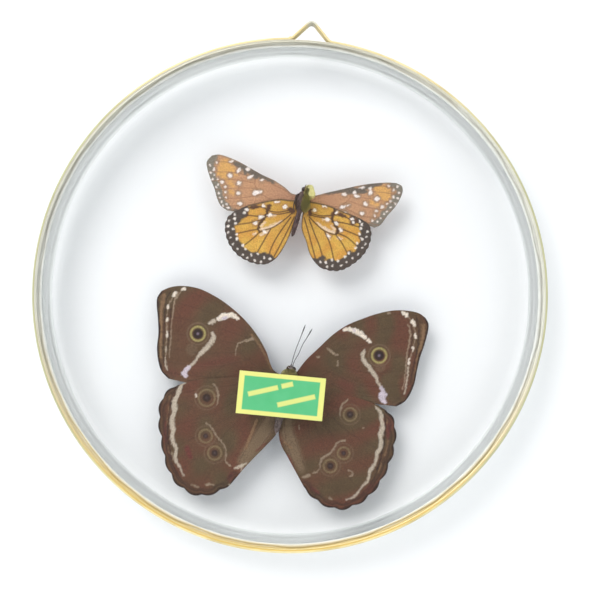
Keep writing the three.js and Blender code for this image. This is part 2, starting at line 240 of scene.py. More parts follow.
# Fine hairs as three-sided spikes: three corners round each root, and the tip at root + direction * length
def hairShell(roots, directions, length, width, **extra):
    across = np.cross(directions, [0.3, 0.2, 0.93])
    across /= np.linalg.norm(across, axis=1, keepdims=True)
    over = np.cross(across, directions)
    turns = np.array([0, 2, 4]) * np.pi / 3
    foot = np.cos(turns)[:, None] * across[:, None] + np.sin(turns)[:, None] * over[:, None]
    corners = roots[:, None] + foot * width / 2
    tips = roots + directions * np.broadcast_to(length, len(roots))[:, None]
    points = np.concatenate([corners, tips[:, None]], axis=1).reshape(-1, 3)
    first = 4 * np.arange(len(roots))[:, None]
    one = np.array([[0, 1, 3, 3], [1, 2, 3, 3], [2, 0, 3, 3], [0, 2, 1, 1]])
    return {"points": points, "faces": (first[..., None] + one).reshape(-1, 4), **extra}


# Centripetal Catmull-Rom: a smooth line through the points, its knots the square roots of the gaps apart,
# then count + 1 points evenly along it
def smoothLine(points, count):
    p = np.asarray(points, float)
    p = np.vstack([2 * p[0] - p[1], p, 2 * p[-1] - p[-2]])
    gap = np.sqrt(np.linalg.norm(np.diff(p, axis=0), axis=1))[:, None]
    before, here, after = gap[:-2], gap[1:-1], gap[2:]
    a, b, c, d = p[:-3], p[1:-2], p[2:-1], p[3:]
    leave = ((b - a) / before - (c - a) / (before + here) + (c - b) / here) * here
    arrive = ((c - b) / here - (d - b) / (here + after) + (d - c) / after) * here
    t = np.linspace(0, 1, 25)[:-1, None, None]
    curve = b + t * leave + t ** 2 * (3 * (c - b) - 2 * leave - arrive)
    curve = curve + t ** 3 * (2 * (b - c) + leave + arrive)
    curve = np.vstack([curve.transpose(1, 0, 2).reshape(-1, p.shape[1]), p[-2:-1]])
    walked = np.concatenate([[0], np.cumsum(np.linalg.norm(np.diff(curve, axis=0), axis=1))])
    even = np.linspace(0, walked[-1], count + 1)
    return np.stack([np.interp(even, walked, curve[:, k]) for k in range(p.shape[1])], -1)


# 1 where distance is under reach, 0 beyond it, with a soft edge of the width blur: 3 e^2 - 2 e^3
def softEdge(reach, distance, blur=0.45):
    edge = np.clip((reach - distance) / blur + 0.5, 0, 1)
    return edge * edge * (3 - 2 * edge)


# How far each place of the plan lies from a line of straight pieces, and the line's own width there
def nearLine(plan, line):
    line = np.asarray(line, float)
    best, width = np.full(plan.shape[:2], np.inf), np.zeros(plan.shape[:2])
    for start, end in zip(line[:-1], line[1:]):
        step = end[:2] - start[:2]
        along = np.clip((plan - start[:2]) @ step / max(step @ step, 1e-9), 0, 1)
        gap = np.linalg.norm(plan - start[:2] - along[..., None] * step, axis=-1)
        if len(start) > 2:
            width = np.where(gap < best, start[2] + along * (end[2] - start[2]), width)
        best = np.minimum(best, gap)
    return best, width


# Bands: lines of (x, z, half width), the strongest band counts at each place
def bandMask(plan, bands, blur=0.45):
    mask = np.zeros(plan.shape[:2])
    for band in bands:
        gap, width = nearLine(plan, band)
        mask = np.maximum(mask, softEdge(width, gap, blur))
    return mask


# The plan seen from (x, z) and turned by degrees: u runs along the turned x, v along the turned z
def turnedPlan(plan, x, z, turn):
    lean = np.radians(turn)
    u = (plan[..., 0] - x) * np.cos(lean) + (plan[..., 1] - z) * np.sin(lean)
    v = (plan[..., 1] - z) * np.cos(lean) - (plan[..., 0] - x) * np.sin(lean)
    return u, v


# Spots: (x, z, half width, half height, turn in degrees); inside where (u / rx)^2 + (v / rz)^2 < 1
def spotMask(plan, spots, blur=0.4):
    mask = np.zeros(plan.shape[:2])
    for x, z, wide, high, turn in spots:
        u, v = turnedPlan(plan, x, z, turn)
        size = (wide * high) ** 0.5
        mask = np.maximum(mask, softEdge(size, np.hypot(u / wide, v / high) * size, blur))
    return mask


# Rings: (x, z, radius, half width)
def ringMask(plan, rings, blur=0.35):
    mask = np.zeros(plan.shape[:2])
    for x, z, radius, width in rings:
        away = np.hypot(plan[..., 0] - x, plan[..., 1] - z)
        mask = np.maximum(mask, softEdge(width, np.abs(away - radius), blur))
    return mask


# Uneven shade over a plan, about -1 to 1: a few long waves of mixed directions, each sin(k . p + start)
def unevenness(plan, wavelength, waves=7):
    heading = draw.uniform(0, 2 * np.pi, waves)
    pace = 2 * np.pi / wavelength * draw.uniform(0.6, 1.7, waves)
    start = draw.uniform(0, 2 * np.pi, waves)
    across = plan[..., :1] * np.cos(heading) + plan[..., 1:2] * np.sin(heading)
    return np.sin(across * pace + start).sum(-1) / np.sqrt(waves)


# Glass
glass = {
    "radius": 100.5,
    "recess": 0.3,  # the pane's outer face behind the band's rear edge
    "pane": 2.0,
    "join": 0.05,  # air left between pane and dish
    "wall": 2.4,
    "floor": 2.2,
    "corner": 3.2,
    "edge": 0.35,  # melted-round edges
    "sides": 480,
    "reflectionFrom": 98.7,  # the radius where the painted reflection of the brass begins
    "reflectionFade": 0.35,  # how far it takes to its full share
    "reflectionShares": (0.12, 0.88, 0.12),  # its share all round, and what the bottom and the top add
    "cement": (1.4, 0.8),  # how far the joint's cement runs in along the pane and up the wall
    "gapFill": (0.12, 5.2, 0.13, 100.65),  # cement behind the strip: from, to, half its width, radius
    "wobble": 0.14,  # how unevenly the pressed wall's inside runs
    "wobbleFrom": (90, 6),  # from this radius, and over how much further out it sets in
}


# Soda-lime glass, pressed and fire-polished: clear, colourless at this thickness, very smooth.
# Lamps and soft light go straight through it, so that what it encloses is lit.
def clearGlass(name, tint, shade, roughness=0.0):
    material, tree, output = newMaterial(name)
    place = addNode(tree, "ShaderNodeTexCoord")
    ripple = addNode(tree, "ShaderNodeTexNoise", {"Scale": perMetre(22), "Detail": 1.0},
                     {"Vector": place.outputs["Object"]})
    bump = addNode(tree, "ShaderNodeBump", {"Strength": 0.25, "Distance": 0.00006},
                   {"Height": ripple.outputs["Fac"]})
    body = addNode(tree, "ShaderNodeBsdfPrincipled", {
        "Base Color": linear(tint), "Transmission Weight": 1.0, "Roughness": roughness, "IOR": 1.46},
        {"Normal": bump.outputs["Normal"]})
    clear = addNode(tree, "ShaderNodeBsdfTransparent", {"Color": linear(shade)})
    path = addNode(tree, "ShaderNodeLightPath")
    soft = addNode(tree, "ShaderNodeMath", {"operation": "MAXIMUM"},
                   {0: path.outputs["Is Shadow Ray"], 1: path.outputs["Is Diffuse Ray"]})
    both = addNode(tree, "ShaderNodeMixShader", None,
                   {0: soft.outputs[0], 1: body.outputs[0], 2: clear.outputs[0]})
    tree.links.new(both.outputs[0], output.inputs["Surface"])
    return material


# Points round a quarter turn: centre + radius (sin a, cos a), between two angles in degrees
def quarter(centre, radius, start, end, steps=7):
    angle = np.radians(np.linspace(start, end, steps))
    return [(centre[0] + radius * np.sin(a), centre[1] + radius * np.cos(a)) for a in angle]


# Straight stretch from one profile point to another, its ends left out
def stretch(start, end, steps):
    share = np.linspace(0, 1, steps + 2)[1:-1]
    return [(start[0] + (end[0] - start[0]) * t, start[1] + (end[1] - start[1]) * t) for t in share]


# The dish from the middle of its inside, over the rim, to the middle of its outside: (radius, depth), and
# how many of the points are inside
def dishProfile():
    outer, rim, back = glass["radius"], glass["recess"] + glass["pane"] + glass["join"], case["depth"]
    inner, floor = outer - glass["wall"], back - glass["floor"]
    large, small, edge = glass["corner"], glass["corner"] - glass["floor"], glass["edge"]
    inside = [(0.0, floor)] + stretch((0, floor), (inner - small, floor), 16)
    inside += quarter((inner - small, floor - small), small, 0, 90)
    inside += stretch((inner, floor - small), (inner, rim + edge), 16)
    outside = quarter((inner + edge, rim + edge), edge, 270, 180, 5)
    outside += quarter((outer - edge, rim + edge), edge, 180, 90, 5)
    outside += stretch((outer, rim + edge), (outer, case["bandDepth"]), 3) + [(outer, case["bandDepth"])]
    outside += stretch((outer, case["bandDepth"]), (outer, back - large), 10)
    outside += quarter((outer - large, back - large), large, 90, 0, 13)
    outside += stretch((outer - large, back), (0, back), 16) + [(0.0, back)]
    return np.array(inside + outside), len(inside)


# Painted reflection: the glass and cement next to the band are painted in the brass's colour, the strip as
# the glass mirrors it, most at the bottom where light from above falls on its inside. The attribute goes
# from 0 at the radius reflectionFrom to its full share a little further out
def brassStain(points):
    reach = np.hypot(points[:, 0], points[:, 2])
    down = -points[:, 2] / np.maximum(reach, 1)
    lean = points[:, 0] / np.maximum(reach, 1)
    below, above = np.clip(1.5 * down - 0.2, 0, 1), np.clip(-down, 0, 1) * (lean < 0.6)
    least, atBottom, atTop = glass["reflectionShares"]
    share = np.clip(least + atBottom * below + atTop * above, 0, 1)
    return {"brassStain": share * np.clip((reach - glass["reflectionFrom"]) / glass["reflectionFade"], 0, 1)}


def buildDish():
    profile, insideCount = dishProfile()
    angle = np.arange(glass["sides"])[None] / glass["sides"] * 2 * np.pi
    depth = profile[:, 1:]
    # the inside wall is pressed a little uneven: a sum of waves round and along it, only towards the middle
    waves = (np.sin(5 * angle + 0.5 * depth) + 0.8 * np.sin(11 * angle - 0.8 * depth + 1)
             + 0.6 * np.sin(17 * angle + 0.3 * depth + 2) + 0.4 * np.sin(29 * angle - 1.1 * depth)) / 2.8
    onWall = np.zeros(len(profile))
    wobbleFrom, wobbleOver = glass["wobbleFrom"]
    onWall[:insideCount] = np.clip((profile[:insideCount, 0] - wobbleFrom) / wobbleOver, 0, 1)
    radius = profile[:, :1] - glass["wobble"] * (1 + waves) * onWall[:, None] * (profile[:, :1] > 0)
    shell = turnedShell(radius, np.broadcast_to(depth, radius.shape))
    joint = glass["recess"] + glass["pane"] + glass["join"] + glass["edge"]

    # 2 is the cement in the joint, 1 the glass behind the strip, 3 the upright wall, 0 the rest
    def slotAt(reach, deep):
        if deep < joint:
            return 2
        if reach > glass["radius"] - 0.1 and deep < case["bandDepth"]:
            return 1
        return 3 if reach > glass["radius"] - glass["wall"] - 0.6 and deep < case["depth"] - 1.2 else 0

    shell["material"] = turnedSlots(profile, glass["sides"], slotAt)
    shell["fields"] = brassStain(shell["points"])
    return buildPiece("glass_dish", [shell], [pressedGlass, brassBacked, jointCement, wallGlass],
                      "front_dish")


def buildPane():
    outer, rear = glass["radius"], glass["recess"]
    front, edge = rear + glass["pane"], glass["edge"]
    profile = [(0.0, rear)] + stretch((0, rear), (outer - edge, rear), 12)
    profile += quarter((outer - edge, rear + edge), edge, 180, 90, 5)
    profile += quarter((outer - edge, front - edge), edge, 90, 0, 5)
    profile += stretch((outer - edge, front), (0, front), 12) + [(0.0, front)]
    profile = np.array(profile)
    radius = np.repeat(profile[:, :1], glass["sides"], axis=1)
    shell = turnedShell(radius, np.repeat(profile[:, 1:], glass["sides"], axis=1))
    shell["material"] = turnedSlots(profile, glass["sides"], lambda reach, deep: int(reach > outer - edge))
    shell["fields"] = brassStain(shell["points"])
    return buildPiece("glass_pane", [shell], [sheetGlass, brassBacked], "back_pane")


# The cement that squeezed out along the joint, a fillet between the pane and the dish's wall
def buildCement():
    angle = np.linspace(0, 2 * np.pi, glass["sides"], endpoint=False)
    circle = np.stack([np.sin(angle), np.cos(angle)], -1)
    root = glass["radius"] - glass["wall"] + 0.05  # a hair inside the wall, so that no slit shows
    rear = glass["recess"] + glass["pane"] + glass["join"] / 2
    wide, high = glass["cement"]
    section = np.array([(0, rear), (0, rear + high), (-0.12 * wide, rear + 0.6 * high),
                        (-0.4 * wide, rear + 0.25 * high), (-wide, rear + 0.05), (-wide, rear)])
    shell = loopShell(root * circle, section)
    sweep = np.arctan2(shell["points"][:, 0], shell["points"][:, 2])
    reach = np.hypot(shell["points"][:, 0], shell["points"][:, 2])
    uneven = 1 + 0.18 * np.sin(9 * sweep) + 0.14 * np.sin(23 * sweep + 1) + 0.1 * np.sin(41 * sweep + 2)
    grown = (root - (root - reach) * uneven) / reach
    shell["points"][:, [0, 2]] *= grown[:, None]
    # the same cement fills the narrow gap between the glasses and the strip
    start, end, half, middle = glass["gapFill"]
    filling = loopShell(middle * circle,
                        np.array([(half, end), (half, start), (-half, start), (-half, end)]))
    # near the band both are painted with the brass's reflection
    for part in (shell, filling):
        part["fields"] = brassStain(part["points"])
    return buildPiece("joint_cement", [shell, filling], [jointCement], "front_dish")


# Painted reflection: where the brass strip is pressed on the glass, the glass's edge is painted as it
# mirrors the
# strip: soft warm gold at the bottom, and only a hint of it in pale grey elsewhere
def backedEdge():
    material, tree, output = newMaterial("glass edge with painted brass reflection")
    place = addNode(tree, "ShaderNodeTexCoord")
    patches, gold = patchyColours(tree, place, 9, 3.0, "#F4E0A4", "#E2D096")
    mirrored = addNode(tree, "ShaderNodeAttribute", {"attribute_name": "brassStain"})
    colour = addNode(tree, "ShaderNodeMix", {"data_type": "RGBA", 6: linear("#F3F4EA")},
                     {0: mirrored.outputs["Fac"], 7: gold})
    rough = addNode(tree, "ShaderNodeMapRange", {"To Min": 0.3, "To Max": 0.5}, {"Value": patches})
    body = addNode(tree, "ShaderNodeBsdfPrincipled", {"Metallic": 0.5},
                   {"Base Color": colour.outputs[2], "Roughness": rough.outputs[0]})
    tree.links.new(body.outputs[0], output.inputs["Surface"])
    return material


# Dried cement in the joint of pane and dish: light grey, matt, cloudy over a few millimetres; near the band
# it is painted with the brass's reflection
def driedCement():
    material, tree, output = newMaterial("dried grey joint cement")
    place = addNode(tree, "ShaderNodeTexCoord")
    clouds, grey = patchyColours(tree, place, 7, 4.0, "#D6D8D2", "#E3E5DF", (0.35, 0.65))
    # painted reflection: the brass's colour laid over the cement next to the band
    withReflection = layColours(tree, grey, [("brassStain", "#EBCB72")])
    finishCoat(tree, output, withReflection, clouds, 0.4, 0.0001, {"Roughness": 0.5})
    return material


brassBacked = backedEdge()
jointCement = driedCement()
pressedGlass = clearGlass("pressed soda-lime glass", "#FFFFFF", "#FFFFFF")
sheetGlass = clearGlass("flat sheet glass", "#FFFFFF", "#FFFFFF")
# the upright wall kept the mould's fine grain: it looks light grey and blurs what is behind it
wallGlass = clearGlass("pressed glass wall with the mould's grain", "#D5D8D5", "#DCDEDE", 0.3)
buildDish()
buildPane()
buildCement()
print("glass done")


# Brass band with its hanging loop
band = {
    "thickness": 0.8,
    "edge": 0.22,  # rounding of the strip's edges
    "footHalf": 7.7,  # where the loop leaves the circle
    "inset": 0.002,  # keeps the strip inside the solid's facets
    "peak": 8.15,  # the corner that the legs point at, above their feet
    "bendStart": 0.78,
    "footBend": 1.1,  # how far from the corner the strip starts to bend
    "beadRadius": 0.75,  # solder at the left foot
    "circleSteps": 1100,
    "sideShade": (0.045, 0.092),  # metres from the middle over which the painted shade grows on the strip towards the sides
    "palePeak": (-0.002, 0.0003),  # metres over which the loop's peak turns pale, z in the part's frame
}


# The strip's middle line: circle, a short bend at each foot, straight legs and the bent peak, which are
# quadratic curves (1 - t)^2 a + 2 t (1 - t) b + t^2 c
def bend(a, b, c, steps):
    t = np.linspace(0, 1, steps)[:, None]
    return (1 - t) ** 2 * a + 2 * t * (1 - t) * b + t ** 2 * c


def bandLine():
    radius = case["radius"] - band["inset"] - band["thickness"] / 2
    foot = np.array([band["footHalf"], np.sqrt(radius ** 2 - band["footHalf"] ** 2)])
    peak = np.array([0.0, foot[1] + band["peak"]])
    up = foot + (peak - foot) * band["bendStart"]
    legLength = np.linalg.norm(up - foot)
    legStart = foot + (up - foot) / legLength * band["footBend"]
    footAngle = np.arctan2(foot[0], foot[1])
    near = footAngle + band["footBend"] / radius
    sweep = np.linspace(near, 2 * np.pi - near, band["circleSteps"])
    circle = radius * np.stack([np.sin(sweep), np.cos(sweep)], -1)
    mirror = np.array([-1.0, 1.0])
    leftFoot = bend(circle[-1], foot * mirror, legStart * mirror, 12)[1:]
    leftLeg = legStart * mirror + (up - legStart) * mirror * np.linspace(0, 1, 10)[1:-1, None]
    top = bend(up * mirror, peak, up, 40)
    rightLeg = up + (legStart - up) * np.linspace(0, 1, 10)[1:-1, None]
    rightFoot = bend(legStart, foot, circle[0], 12)[:-1]
    return np.concatenate([circle, leftFoot, leftLeg, top, rightLeg, rightFoot])


# The strip across: a flat bar with rounded edges
def stripSection():
    half, edge, wide = band["thickness"] / 2, band["edge"], case["bandDepth"]
    corners = quarter((half - edge, wide - edge), edge, 0, 90, 4) + stretch((half, wide), (half, 0), 5)
    corners += quarter((half - edge, edge), edge, 90, 180, 4)
    corners += quarter((edge - half, edge), edge, 180, 270, 4) + stretch((-half, 0), (-half, wide), 5)
    corners += quarter((edge - half, wide - edge), edge, 270, 360, 4)
    return np.array(corners)


# Thin rolled brass strip, lacquer mostly gone: pale gold, with browner tarnish in patches a centimetre or
# two long and fine drawn lines along the strip
def rolledBrass():
    material, tree, output = newMaterial("rolled brass strip")
    place = addNode(tree, "ShaderNodeTexCoord")
    patches, colour = patchyColours(tree, place, 14, 4.0, "#EFE0AC", "#CDBA84", (0.42, 0.72))
    # painted shade: towards the case's sides the strip is painted a dimmer greyish olive, by its distance
    # from the middle, the look those sides have in this light; at the loop's peak it turns a silvery white
    # over the last two millimetres
    where = addNode(tree, "ShaderNodeSeparateXYZ", None, {0: place.outputs["Object"]})
    apart = addNode(tree, "ShaderNodeMath", {"operation": "ABSOLUTE"}, {0: where.outputs["X"]})
    for reach, (start, end), most, tone in ((apart.outputs[0], band["sideShade"], 0.8, "#B4B692"),
                                            (where.outputs["Z"], band["palePeak"], 0.85, "#CFCEC4")):
        share = addNode(tree, "ShaderNodeMapRange", {
            "interpolation_type": "SMOOTHSTEP", "From Min": start, "From Max": end, "To Max": most},
            {"Value": reach})
        toned = addNode(tree, "ShaderNodeMix", {"data_type": "RGBA", 7: linear(tone)},
                        {0: share.outputs[0], 6: colour})
        colour = toned.outputs[2]
    # the lines run round the case, so the pattern is fine across the strip, along y, and long the other way
    stretchOut = addNode(tree, "ShaderNodeMapping", {"Scale": (0.03, 1.0, 0.03)},
                         {"Vector": place.outputs["Object"]})
    lines = addNode(tree, "ShaderNodeTexNoise", {"Scale": perMetre(0.35), "Detail": 3.0},
                    {"Vector": stretchOut.outputs[0]})
    rough = addNode(tree, "ShaderNodeMapRange", {"To Min": 0.5, "To Max": 0.7}, {"Value": patches})
    # old lacquer and dust on it make it look only half as metallic as new brass
    finishCoat(tree, output, colour, lines.outputs["Fac"], 0.35, 0.00003, {"Metallic": 0.5},
               {"Roughness": rough.outputs[0]})
    return material


def buildBand():
    strip = loopShell(bandLine(), stripSection())
    radius = case["radius"] - band["inset"] - band["thickness"] / 2
    foot = [-band["footHalf"] - 0.2, 1.0, np.sqrt(radius ** 2 - band["footHalf"] ** 2) + 0.3]
    bead = blobShell(foot, [band["beadRadius"] * 1.3, 0.9, band["beadRadius"]], 0.12, 10)
    return buildPiece("brass_strip", [strip, bead], [rolledBrass()], "brass_band")


buildBand()
print("band done")


# Paper label
label = {
    "wide": 34.2,
    "high": 16.9,
    "thick": 0.1,
    "place": (-0.4, -39.7),
    "turn": 0.9,  # degrees, clockwise from behind
    "border": (2.15, 1.75),  # left and right, top and bottom
    "rear": 0.17,  # the paper's outer face
    # plain bars on the field, leaning up to the right: (x, z, half length, half height)
    "bars": [(-7.2, 1.3, 6.0, 0.95), (2.1, 4.4, 2.3, 0.95), (6.2, -1.4, 7.6, 0.95)],
    "barTurn": 18.0,
    "barInk": 0.88,  # how fully the bars leave out the green
    "lift": 0.09,  # how far two corners stand off the glass
    "step": 0.15,  # spacing of the mesh, fine enough for the printed edges
}


# Gummed paper printed in two flat inks: matt, with faint fibres and a little bleed at the ink's edges
def printedPaper():
    material, tree, output = newMaterial("printed gummed paper")
    place = addNode(tree, "ShaderNodeTexCoord")
    fibres = addNode(tree, "ShaderNodeTexNoise", {"Scale": perMetre(0.5), "Detail": 5.0},
                     {"Vector": place.outputs["Object"]})
    green = patchyColours(tree, place, 6, 2.0, "#48AD6D", "#59B67D")[1]
    ink = addNode(tree, "ShaderNodeAttribute", {"attribute_name": "greenInk"})
    printed = addNode(tree, "ShaderNodeMix", {"data_type": "RGBA", 6: linear("#DBDA7C")},
                      {0: ink.outputs["Fac"], 7: green})
    finishCoat(tree, output, printed.outputs[2], fibres.outputs["Fac"], 0.3, 0.00004, {"Roughness": 0.55})
    return material


def buildLabel():
    wide, high = label["wide"] / 2, label["high"] / 2
    x = np.linspace(-wide, wide, round(label["wide"] / label["step"]) + 1)
    z = np.linspace(-high, high, round(label["high"] / label["step"]) + 1)
    plan = np.stack(np.meshgrid(x, z, indexing="ij"), -1)
    aside, above = label["border"]
    # distance outside the green field, whose corners are square
    outside = np.maximum(np.abs(plan[..., 0]) - wide + aside, np.abs(plan[..., 1]) - high + above)
    ink = softEdge(0.0, outside, 0.3)
    for barX, barZ, long, tall in label["bars"]:
        u, v = turnedPlan(plan, barX, barZ, label["barTurn"])
        bar = softEdge(0.0, np.maximum(np.abs(u) - long, np.abs(v) - tall), 0.5)
        ink = ink * (1 - label["barInk"] * bar)
    turn = np.radians(label["turn"])
    flatX = label["place"][0] + plan[..., 0] * np.cos(turn) + plan[..., 1] * np.sin(turn)
    flatZ = label["place"][1] + plan[..., 1] * np.cos(turn) - plan[..., 0] * np.sin(turn)
    # two corners stand off the glass by a few hundredths: a rise with the fourth power of the reach
    reach = np.clip(np.abs(plan[..., 0] * plan[..., 1]) / (wide * high), 0, 1) ** 4
    rear = label["rear"] - label["lift"] * reach * (plan[..., 0] * plan[..., 1] > 0)
    under = np.stack([flatX, rear, flatZ], -1)
    over = under + [0, label["thick"], 0]
    shell = sheetShell(under, over, fields={"greenInk": np.concatenate([ink.ravel(), ink.ravel()])})
    shell["material"] = 0
    return buildPiece("paper_sticker", [shell], [printedPaper()], "paper_label")


buildLabel()
print("label done")


# Glue
glueBeads = {
    "queen": [{"centre": (4.3, 3.5, 41.2), "radii": (2.3, 1.4, 3.0)},
              {"centre": (3.2, 3.0, 36.6), "radii": (1.9, 0.9, 3.4)}],
    "morpho": [{"centre": (2.2, 4.5, -35.6), "radii": (4.6, 2.6, 6.2)}],
    "foot": 2.32,  # the pane's inner face
}


# Old clear adhesive: glassy, yellowed, with a few haze patches and a pooled, uneven surface; light goes
# through it with a pale yellow tint
def yellowedGlue():
    material, tree, output = newMaterial("yellowed clear adhesive")
    place = addNode(tree, "ShaderNodeTexCoord")
    haze, colour = patchyColours(tree, place, 3.5, 3.0, "#FAF8BE", "#F2EEA2")
    bump = addNode(tree, "ShaderNodeBump", {"Strength": 0.5, "Distance": 0.0002}, {"Height": haze})
    body = addNode(tree, "ShaderNodeBsdfPrincipled",
                   {"Roughness": 0.3, "IOR": 1.2, "Transmission Weight": 0.92},
                   {"Base Color": colour, "Normal": bump.outputs[0]})
    thin = addNode(tree, "ShaderNodeBsdfTransparent", {"Color": linear("#F8F6CA")})
    # it is so thin that two thirds of what lies behind is seen straight through it
    layer = addNode(tree, "ShaderNodeMixShader", {0: 0.66}, {1: body.outputs[0], 2: thin.outputs[0]})
    clear = addNode(tree, "ShaderNodeBsdfTransparent", {"Color": linear("#F0EFB8")})
    path = addNode(tree, "ShaderNodeLightPath")
    both = addNode(tree, "ShaderNodeMixShader", None,
                   {0: path.outputs["Is Shadow Ray"], 1: layer.outputs[0], 2: clear.outputs[0]})
    tree.links.new(both.outputs[0], output.inputs["Surface"])
    return material


# Lumps of glue, flat where they wet the pane
def buildGlue(name, beads, node, material):
    shells = [blobShell(bead["centre"], bead["radii"], 0.16, 28) for bead in beads]
    for shell in shells:
        shell["points"][:, 1] = np.maximum(shell["points"][:, 1], glueBeads["foot"])
    return buildPiece(name, shells, [material], node)


oldGlue = yellowedGlue()
buildGlue("glue_under_queen", glueBeads["queen"], "queen_glue", oldGlue)
buildGlue("glue_under_morpho", glueBeads["morpho"], "morpho_glue", oldGlue)
print("glue done")


# The small butterfly: outlines, veins and marks in millimetres from its thorax, x and z. Spots are (x, z,
# half width, half height, turn), bands are lines of (x, z, half width), dots are places.
queen = {
    "place": (1.7, 37.6),
    "depth": 7.6,
    "foreLevel": 1.3,
    "rise": 1.6,  # how much further from the pane the wing tips lie than the roots
    "span": 40.0,
    "lobes": 12,
    "lobeDepth": 0.35,
    "rows": 150,
    "columns": 110,
    "spotShare": 0.76,  # the spots were measured to their soft edges, and are drawn smaller by this
    "dotRadius": 0.42,
    "rowSpot": (0.5, 0.54),  # half width and height of the spots in the margin's inner row
    "rowWhite": 0.95,  # how white the dots and the row are
    "pinkShare": 0.65,
    "cellVein": 0.55,  # half width of the thick dark vein round a hind wing's cell
    # on the fore wings and on the hind wings
    "border": (3.0, 4.9),  # width of the dark border along the margin
    "veinHalf": (0.1, 0.24),
    "brinkShows": (0.6, 0.85),  # how dark the front and rear edges are
}
